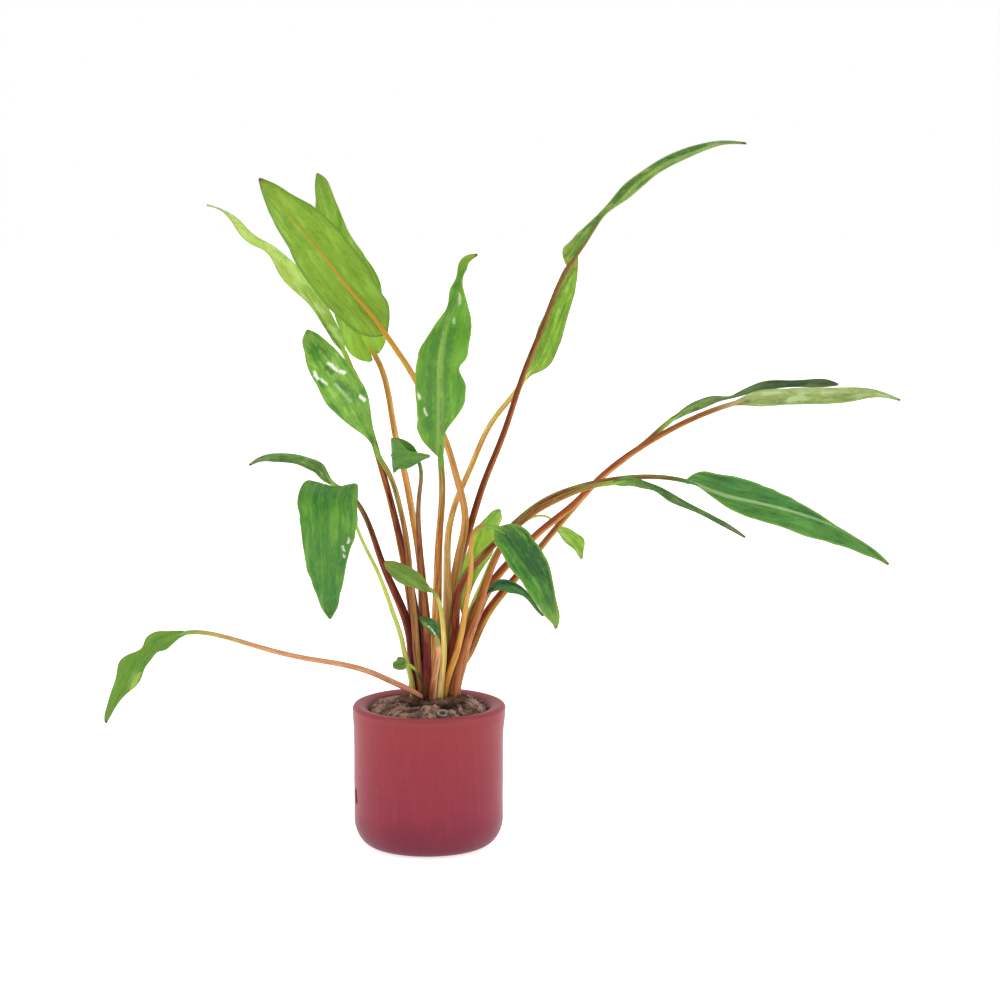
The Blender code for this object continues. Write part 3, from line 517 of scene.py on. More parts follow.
            (26, -9, 102.5), (29.5, -11, 104), (34, -13, 103.5), (37.5, -14.5, 101.5),
            (40.5, -15.5, 98), (43, -16, 94.5), (44.5, -16, 92.5),
        ),
        halves=(
            (0, 1, 1), (0.06, 1, 1.5), (0.14, 2.2, 2.2), (0.25, 3.2, 3.8), (0.4, 2.2, 3.8), (0.55, 1.4, 2.6),
            (0.7, 0.8, 1.5), (0.85, 0.6, 1.2), (1, 0.5, 0.5),
        ),
        turn=(34, 34),
        fold=5,
        wave=(0, 0),
        under=False,
        across=None,
        hues=("olive", "dark"),
    ),
    LeafPlan(
        name="small_front",
        foot=(5.6, -8.6),
        radii=(1.05, 0.62),
        stalk=(
            (6.5, -11, 74.5), (6.5, -13, 84), (5.5, -15, 94.5), (4.5, -17, 99), (2.5, -19, 102.5),
        ),
        rib=(
            (0.5, -21, 104.5), (-2.5, -23, 107), (-6.5, -25, 109.5), (-11, -26, 112.5),
            (-15.5, -27, 115),
        ),
        halves=(
            (0, 1, 1), (0.07, 1.5, 0.5), (0.16, 2.5, 1), (0.28, 3, 2), (0.42, 3.5, 3),
            (0.56, 4, 3.5), (0.7, 4, 3), (0.83, 3, 2.5), (0.93, 2, 1.5), (1, 0.5, 0.5),
        ),
        turn=(-16, -8),
        fold=9,
        wave=(0, 0),
        under=False,
        across=None,
        hues=("yellow", "green"),
    ),
    LeafPlan(
        name="tiny_dark",
        foot=(1.9, -9.4),
        radii=(1.0, 0.7),
        stalk=(
            (3.5, -12, 71), (4.5, -15, 78.5), (4, -18, 84),
        ),
        rib=(
            (3.5, -20, 86.5), (1.5, -22, 90), (-0.5, -23, 92), (-2.5, -23, 93.5),
        ),
        halves=(
            (0, 1, 1), (0.1, 0.5, 1), (0.25, 1.5, 2), (0.4, 2, 2.5), (0.55, 2, 3), (0.7, 2, 2.5),
            (0.85, 1.5, 1.5), (1, 0.5, 0.5),
        ),
        turn=(0, 0),
        fold=10,
        wave=(0, 0),
        under=False,
        across=None,
        hues=("tan", "dark"),
    ),
    LeafPlan(
        name="tiny_round",
        foot=(-1.6, -9.4),
        radii=(0.7, 0.5),
        stalk=(
            (-2.5, -13, 65), (-3.5, -15.5, 69.5), (-5, -17.5, 72.5), (-7.5, -18.5, 74.5),
        ),
        rib=(
            (-8.5, -19, 74.5), (-10, -20, 75), (-11.5, -20.5, 75), (-12.5, -21, 75.5),
        ),
        halves=(
            (0, 1, 1), (0.1, 1.7, 1.7), (0.25, 2.3, 2.3), (0.45, 2.6, 2.6), (0.65, 2.5, 2.5),
            (0.82, 2, 2), (0.93, 1.3, 1.3), (1, 0.4, 0.4),
        ),
        turn=(0, 0),
        fold=6,
        wave=(0, 0),
        under=False,
        across=None,
        hues=("olive", "dark"),
    ),
    LeafPlan(
        name="low_left",
        foot=(-3.6, -7.2),
        radii=(1.2, 0.85),
        stalk=(
            (-5.5, -12, 61), (-10.5, -15, 65), (-18, -18, 69.8), (-28.5, -21, 74),
            (-44.5, -24, 77.5), (-61, -27, 82), (-74.5, -29, 86.5), (-83, -30, 88.5),
            (-90.5, -31, 88.5),
        ),
        rib=(
            (-95, -31.5, 87), (-100, -32, 85), (-103.5, -32.5, 82), (-108.5, -33.5, 77),
            (-111.5, -34, 72), (-114.5, -34, 66.5), (-118, -33.5, 60.5), (-120.5, -32, 54.5),
        ),
        halves=(
            (0, 1, 1), (0.06, 1.5, 2), (0.13, 3, 3), (0.2, 4, 4.5), (0.27, 3, 4.5), (0.34, 3, 3),
            (0.42, 3.5, 4), (0.5, 5, 6), (0.6, 5, 5), (0.7, 2.5, 3.5), (0.8, 1.5, 2.5),
            (0.9, 1.5, 2), (0.96, 1, 1.5), (1, 0.5, 0.5),
        ),
        turn=(24, 20),
        fold=8,
        wave=(0.6, 3),
        under=False,
        across=None,
        hues=("tan", "green"),
    ),
)


class Touch(Enum):
    """The kinds of stroke that mark a blade, by the attribute that holds them."""

    PALE = "leaf_pale"
    DARK = "leaf_dark"


@dataclass(frozen=True)
class Stroke:
    """A mark drawn on a blade from start to end, each (along, across).

    along runs from 0 at the neck to 1 at the tip, and across from -1 to 1.
    """

    touch: Touch
    start: tuple[float, float]
    end: tuple[float, float]
    radius_mm: float
    share: float = 1.0


@dataclass(frozen=True)
class LeafLook:
    """How a leaf is dressed.

    dry is how much of the blade's end is brown, lobes_mm how far its left and right halves
    reach back past the neck, midrib how much of the blade the stalk runs on along as a raised rib, and
    swell how much thicker the stalk is at its foot than the solid's.
    """

    blade: "BladeFinish"
    stalk: "StalkFinish"
    dry: float = 0.02
    lobes_mm: tuple[float, float] = (0.0, 0.0)
    midrib: float = 0.0
    swell: float = 0.42
    strokes: tuple[Stroke, ...] = ()


# Roots that lie on the plug, each as points on a plan of the plug
ROOTS = {
    "root_left": ((-12.5, -4.0), (-15.5, -7.5), (-16.5, -12.0), (-19.0, -14.0)),
    "root_front": ((-3.0, -14.0), (-5.5, -16.5), (-9.0, -17.5), (-11.5, -20.0)),
    "root_right": ((17.0, -3.0), (19.0, -6.0), (18.5, -9.5), (20.0, -12.0)),
    "root_back": ((3.0, 13.5), (7.0, 16.0), (12.0, 16.5), (15.0, 18.5)),
}
LOOP_ROOT_CENTRE_MM = (6.1, -19.8)
LOOP_ROOT_RADIUS_MM = 1.7


def linear(hex_colour: str) -> tuple[float, float, float, float]:
    """The linear colour of an sRGB hex code.

    Args:
        hex_colour: A code such as "#8DBB40".

    Returns:
        Red, green, blue and an alpha of 1.
    """
    channels = [int(hex_colour[i:i + 2], 16) / 255 for i in (1, 3, 5)]
    light = [c / 12.92 if c <= 0.04045 else ((c + 0.055) / 1.055) ** 2.4 for c in channels]
    return (*light, 1.0)


def add_node(
    tree: bpy.types.NodeTree, kind: str, settings: dict[str, Any] | None = None,
    inputs: dict[str, Any] | None = None, out: str = "",
) -> bpy.types.NodeSocket:
    """Add a node, set it up and link it.

    Args:
        tree: The tree to add to.
        kind: The node's type name.
        settings: Properties of the node and their values.
        inputs: Values or sockets by the identifiers of the node's inputs.
        out: The identifier of the output wanted, or "" for the first.

    Returns:
        The wanted output socket.
    """
    node = tree.nodes.new(kind)
    for key, value in (settings or {}).items():
        setattr(node, key, value)
    for key, value in (inputs or {}).items():
        target = next(s for s in node.inputs if s.identifier == key)
        if isinstance(value, bpy.types.NodeSocket):
            tree.links.new(value, target)
        else:
            target.default_value = value
    if not len(node.outputs):
        return None
    return next(s for s in node.outputs if out in ("", s.identifier))


class Shading:
    """The node tree of one material, with the sums and mixes that its finishes share."""

    def __init__(self, name: str) -> None:
        """Start an empty material of that name."""
        self.material = bpy.data.materials.new(name)
        self.material.use_nodes = True
        self.tree = self.material.node_tree
        self.tree.nodes.clear()

    def add(self, kind: str, settings: dict[str, Any] | None = None,
            inputs: dict[str, Any] | None = None, out: str = "") -> bpy.types.NodeSocket:
        """Add a node to the material and return one of its outputs."""
        return add_node(self.tree, kind, settings, inputs, out)

    def sum(self, operation: str, first: Any, second: Any = 0.0, clamp: bool = False) -> Any:
        """One Math node of two terms."""
        return self.add("ShaderNodeMath", {"operation": operation, "use_clamp": clamp},
                        {"Value": first, "Value_001": second})

    def mix(self, share: Any, low: Any, high: Any, blend: str = "MIX") -> Any:
        """A colour mixed from low to high by share; hex codes are read as colours."""
        ends = [linear(c) if isinstance(c, str) else c for c in (low, high)]
        return self.add("ShaderNodeMix", {"data_type": "RGBA", "blend_type": blend},
                        {"Factor_Float": share, "A_Color": ends[0], "B_Color": ends[1]},
                        "Result_Color")

    def read(self, name: str, out: str = "Fac") -> Any:
        """A value or vector that the mesh carries for each point."""
        return self.add("ShaderNodeAttribute", {"attribute_name": name}, out=out)

    def split(self, vector: Any) -> tuple[Any, Any, Any]:
        """The three parts of a vector."""
        first = self.add("ShaderNodeSeparateXYZ", None, {"Vector": vector}, "X")
        return tuple(first.node.outputs)

    def blend(self, share: Any, limit: float, low: Any, high: Any) -> Any:
        """Mix at most limit of high into low, by share."""
        return self.mix(self.sum("MULTIPLY", share, limit), low, high)

    def drawn(self, vector: Any, scale: tuple[float, float, float], detail: float) -> Any:
        """Noise stretched by its own scale on each axis."""
        place = self.add("ShaderNodeVectorMath", {"operation": "MULTIPLY"},
                         {"Vector": vector, "Vector_001": scale})
        return self.add("ShaderNodeTexNoise", None,
                        {"Vector": place, "Scale": 1.0, "Detail": detail})

    def step(self, value: Any, start: float, end: float) -> Any:
        """0 at start and 1 at end, smooth between; start may be the larger."""
        return self.add("ShaderNodeMapRange", {"interpolation_type": "SMOOTHSTEP"},
                        {"Value": value, "From Min": start, "From Max": end})

    def grain(self, vector: Any, size_mm: float, detail: float = 2.0) -> Any:
        """Noise whose lumps are about size_mm, on a vector in metres."""
        return self.add("ShaderNodeTexNoise", None,
                        {"Vector": vector, "Scale": 1000.0 / size_mm, "Detail": detail})

    def relief(self, height: Any, depth_mm: float, under: Any = None) -> Any:
        """A bump of that depth, on top of another bump if there is one."""
        inputs = {"Height": height, "Distance": depth_mm * 0.001, "Strength": 1.0}
        if under is not None:
            inputs["Normal"] = under
        return self.add("ShaderNodeBump", None, inputs)

    def finish(self, shader: Any) -> bpy.types.Material:
        """Link the shader to the material's output and return the material."""
        self.add("ShaderNodeOutputMaterial", None, {"Surface": shader})
        return self.material


@dataclass(frozen=True)
class BladeFinish:
    """Living leaf skin: satin, veined, and thin enough to let light through.

    left and right colour its halves, base and tip its ends, margin its edge and rib its
    middle line. deep and fresh colour its darker and lighter clouds. pale and dark colour
    the strokes drawn on it, and dry its brown end.
    """

    left: str
    right: str
    base: str
    tip: str
    deep: str
    fresh: str
    margin: str
    rib: str = "#9CAE58"
    rib_share: float = 0.0
    rib_mm: float = 0.6
    base_reach: float = 0.2
    tip_reach: float = 0.25
    margin_mm: float = 0.8
    clouds: float = 0.7
    cloud_mm: float = 5.0
    pale: str = "#E4EBC9"
    dark: str = "#24552B"
    dry: str = "#84602F"
    through: float = 0.25
    roughness: float = 0.4

    def material(self, name: str, other: str) -> bpy.types.Material:
        """Build the leaf skin.

        Args:
            name: The material's name.
            other: The colour that the face turned away from the front leans to.

        Returns:
            A material that reads the leaf attributes of a blade.
        """
        shade = Shading(name)
        along, across, half = shade.split(shade.read("leaf_place", "Vector"))
        flat = shade.read("leaf_flat", "Vector")
        out = shade.sum("ABSOLUTE", across)
        cloud = shade.drawn(flat, (0.45 / self.cloud_mm, 1.0 / self.cloud_mm, 1.0), 2.0)
        streak = shade.drawn(flat, (0.06, 0.55, 1.0), 2.0)
        fine = shade.drawn(flat, (0.4, 1.1, 1.0), 2.0)
        drift = shade.sum("MULTIPLY", shade.sum("SUBTRACT", cloud, 0.5), 0.35)
        there = shade.sum("ADD", along, drift)
        colour = shade.mix(shade.step(shade.sum("ADD", across, drift), -0.3, 0.3),
                           self.left, self.right)
        colour = shade.blend(shade.step(there, self.base_reach, 0.0), 0.9, colour, self.base)
        colour = shade.blend(shade.step(there, 1 - self.tip_reach, 1.0), 0.9, colour, self.tip)
        both = shade.sum("ADD", shade.sum("MULTIPLY", cloud, 0.55),
                         shade.sum("MULTIPLY", streak, 0.45))
        colour = shade.blend(shade.step(both, 0.49, 0.38), self.clouds, colour, self.deep)
        colour = shade.blend(shade.step(both, 0.51, 0.62), self.clouds, colour, self.fresh)
        colour = shade.blend(shade.step(fine, 0.52, 0.66), 0.28, colour, self.fresh)
        colour = shade.blend(shade.step(fine, 0.46, 0.34), 0.2, colour, self.deep)
        run = shade.sum("ADD", shade.sum("MULTIPLY", out, 3.4), drift)
        lines = shade.step(shade.sum("PINGPONG", run, 0.5), 0.12, 0.02)
        colour = shade.blend(lines, 0.28, colour, self.fresh)
        inner = shade.sum("MULTIPLY", shade.sum("SUBTRACT", 1.0, out), half)
        colour = shade.blend(shade.step(inner, self.margin_mm, 0.0), 0.75, colour, self.margin)
        wide = shade.sum("MULTIPLY", shade.sum("SUBTRACT", 1.2, along), self.rib_mm)
        nearness = shade.sum("DIVIDE", shade.sum("MULTIPLY", out, half), wide)
        middle = shade.sum("MULTIPLY", shade.step(nearness, 1.0, 0.35),
                           shade.step(along, 1.0, 0.5))
        colour = shade.blend(middle, self.rib_share, colour, self.rib)
        for touch, tone in ((Touch.DARK, self.dark), (Touch.PALE, self.pale)):
            colour = shade.mix(shade.read(touch.value), colour, tone)
        colour = shade.blend(shade.read("leaf_back"), 0.3, colour, other)
        colour = shade.mix(shade.read("leaf_dry"), colour, self.dry)
        height = shade.sum("ADD", shade.sum("MULTIPLY", lines, -0.5), both)
        bump = shade.relief(fine, 0.04, shade.relief(height, 0.18))
        skin = shade.add("ShaderNodeBsdfPrincipled", None, {
            "Base Color": colour, "Roughness": self.roughness, "Specular IOR Level": 0.3,
            "Normal": bump})
        glow = shade.add("ShaderNodeBsdfTranslucent", None, {"Color": shade.mix(
            0.2, colour, "#E6F08A", "SCREEN"), "Normal": bump})
        return shade.finish(shade.add("ShaderNodeMixShader", None, {
            "Fac": self.through, "Shader": skin, "Shader_001": glow}))


@dataclass(frozen=True)
class StalkFinish:
    """The smooth, finely ribbed skin of a leaf stalk.

    foot, low, middle and neck follow one another up the stalk, left and right colour its
    sides, partly its own tones and partly painted light and shade of a lit and a shaded
    side, and streak the fine lines along it.
    """

    foot: str
    low: str
    middle: str
    neck: str
    left: str
    right: str
    streak: str
    roughness: float = 0.42

    def material(self, name: str, rib: str) -> bpy.types.Material:
        """Build the stalk skin.

        Args:
            name: The material's name.
            rib: The colour of the part that runs on under the blade.

        Returns:
            A material that reads the stalk attributes of a stalk.
        """
        shade = Shading(name)
        around = shade.read("stalk_place", "Vector")
        along, side, _ = shade.split(shade.read("stalk_run", "Vector"))
        streaks = shade.drawn(around, (1.6, 1.6, 1.6), 4.0)
        patches = shade.grain(shade.add("ShaderNodeTexCoord", out="Object"), 8.0, 3.0)
        sway = shade.sum("SUBTRACT", patches, 0.5)
        drift = shade.sum("ADD", along, shade.sum("MULTIPLY", sway, 0.3))
        edge = shade.sum("ADD", side, shade.sum("MULTIPLY", shade.sum(
            "SUBTRACT", streaks, 0.5), 1.6))
        colour = shade.mix(shade.step(drift, 0.0, 0.14), self.foot, self.low)
        colour = shade.mix(shade.step(drift, 0.18, 0.42), colour, self.middle)
        colour = shade.mix(shade.step(drift, 0.62, 0.98), colour, self.neck)
        # painted light and shade, over the stalk's own tones: one side lit, the other in shade
        sides = shade.step(drift, 1.1, 0.7)
        colour = shade.blend(shade.sum("MULTIPLY", shade.step(edge, -0.15, -0.8), sides), 0.85,
                             colour, self.left)
        colour = shade.blend(shade.sum("MULTIPLY", shade.step(edge, 0.15, 0.8), sides), 0.85,
                             colour, self.right)
        colour = shade.blend(shade.step(streaks, 0.52, 0.62), 0.75, colour, self.streak)
        colour = shade.blend(shade.step(streaks, 0.46, 0.36), 0.45, colour, self.left)
        colour = shade.mix(shade.step(along, 0.95, 1.03), colour, rib)
        bump = shade.relief(streaks, 0.12)
        return shade.finish(shade.add("ShaderNodeBsdfPrincipled", None, {
            "Base Color": colour, "Roughness": self.roughness, "Normal": bump,
            "Specular IOR Level": 0.15}))


@dataclass(frozen=True)
class PotGlaze:
    """Crimson satin glaze over clay, with painted shade: darker towards the foot and inside the rim."""

    bright: str = "#8D3036"
    deep: str = "#872A3A"
    low: str = "#6A1F33"
    lip: str = "#8E3A42"
    inside: str = "#6A2A2A"
    chip: str = "#380F1A"
    chips: tuple[tuple[float, float, float], ...] = (
        (-0.0278, -0.0078, 0.0222), (-0.0275, -0.0086, 0.0190), (-0.0277, -0.0081, 0.0205))
    roughness: float = 0.42

    def material(self) -> bpy.types.Material:
        """The pot's material."""
        shade = Shading("crimson_glaze")
        space = shade.add("ShaderNodeTexCoord", out="Object")
        _, _, height = shade.split(space)
        flat = shade.add("ShaderNodeVectorMath", {"operation": "MULTIPLY"},
                         {"Vector": space, "Vector_001": (1.0, 1.0, 0.0)})
        radius = shade.add("ShaderNodeVectorMath", {"operation": "LENGTH"}, {"Vector": flat},
                           "Value")
        cloud = shade.grain(space, 14.0, 3.0)
        drawn = shade.drawn(space, (450.0, 450.0, 60.0), 3.0)
        fine = shade.grain(space, 1.4, 3.0)
        lift = shade.sum("ADD", height, shade.sum("MULTIPLY", cloud, 0.012))
        # painted shade: the glaze goes from bright at the top to deep lower down and low near the foot
        colour = shade.mix(shade.step(lift, 0.022, 0.056), self.deep, self.bright)
        colour = shade.mix(shade.step(lift, 0.026, 0.007), colour, self.low)
        colour = shade.blend(shade.step(drawn, 0.5, 0.7), 0.05, colour, "#B4585A")
        colour = shade.blend(shade.step(fine, 0.5, 0.68), 0.16, colour, self.low)
        colour = shade.blend(shade.step(height, 0.051, 0.054), 0.7, colour, self.lip)
        # painted shade: darker inside the rim, where the pot's mouth lies in shade
        colour = shade.mix(shade.step(radius, 0.0252, 0.0238), colour, self.inside)
        worn: Any = 0.0
        for place in self.chips:
            away = shade.add("ShaderNodeVectorMath", {"operation": "DISTANCE"}, {
                "Vector": space, "Vector_001": place}, "Value")
            worn = shade.sum("MAXIMUM", worn, shade.step(away, 0.0019, 0.0009))
        colour = shade.mix(worn, colour, self.chip)
        roughness = shade.sum("ADD", self.roughness, shade.sum("MULTIPLY", worn, 0.5))
        bump = shade.relief(fine, 0.04, shade.relief(drawn, 0.05))
        return shade.finish(shade.add("ShaderNodeBsdfPrincipled", None, {
            "Base Color": colour, "Roughness": roughness, "Normal": bump,
            "Specular IOR Level": 0.2}))


@dataclass(frozen=True)
class Fleece:
    """Matted stuff, darkened with painted shade in its hollows: mineral wool and peat, rhizome scales or root
    bark.
    """

    name: str
    dark: str
    middle: str
    pale: str
    lump_mm: float = 3.0
    fine_mm: float = 0.5
    hollow_shade: float = 0.9
    roughness: float = 0.9

    def material(self) -> bpy.types.Material:
        """The matted material, darkest with painted shade where the piece's shade value for its hollows is 1.
        """
        shade = Shading(self.name)
        space = shade.add("ShaderNodeTexCoord", out="Object")
        hollow_shade = shade.read("hollow_shade")
        lumps = shade.grain(space, self.lump_mm, 4.0)
        fine = shade.grain(space, self.fine_mm, 3.0)
        colour = shade.mix(shade.step(lumps, 0.36, 0.62), self.dark, self.middle)
        colour = shade.mix(shade.sum("MULTIPLY", shade.step(fine, 0.48, 0.68), 0.7), colour,
                           self.pale)
        colour = shade.blend(shade.read("bare"), 0.75, colour, self.pale)
        # painted shade in the piece's hollows
        colour = shade.mix(shade.sum("MULTIPLY", hollow_shade, self.hollow_shade), colour, self.dark)
        bump = shade.relief(fine, 0.25, shade.relief(lumps, 0.5))
        return shade.finish(shade.add("ShaderNodeBsdfPrincipled", None, {
            "Base Color": colour, "Roughness": self.roughness, "Normal": bump,
            "Specular IOR Level": 0.3}))


@dataclass(frozen=True)
class Strand:
    """A plain fibre or grain, whose colour drifts from one place to the next."""

    name: str
    low: str
    high: str
    roughness: float = 0.7

    def material(self) -> bpy.types.Material:
        """The fibre's material."""
        shade = Shading(self.name)
        space = shade.add("ShaderNodeTexCoord", out="Object")
        colour = shade.mix(shade.step(shade.grain(space, 2.5), 0.35, 0.65), self.low, self.high)
        return shade.finish(shade.add("ShaderNodeBsdfPrincipled", None, {
            "Base Color": colour, "Roughness": self.roughness}))


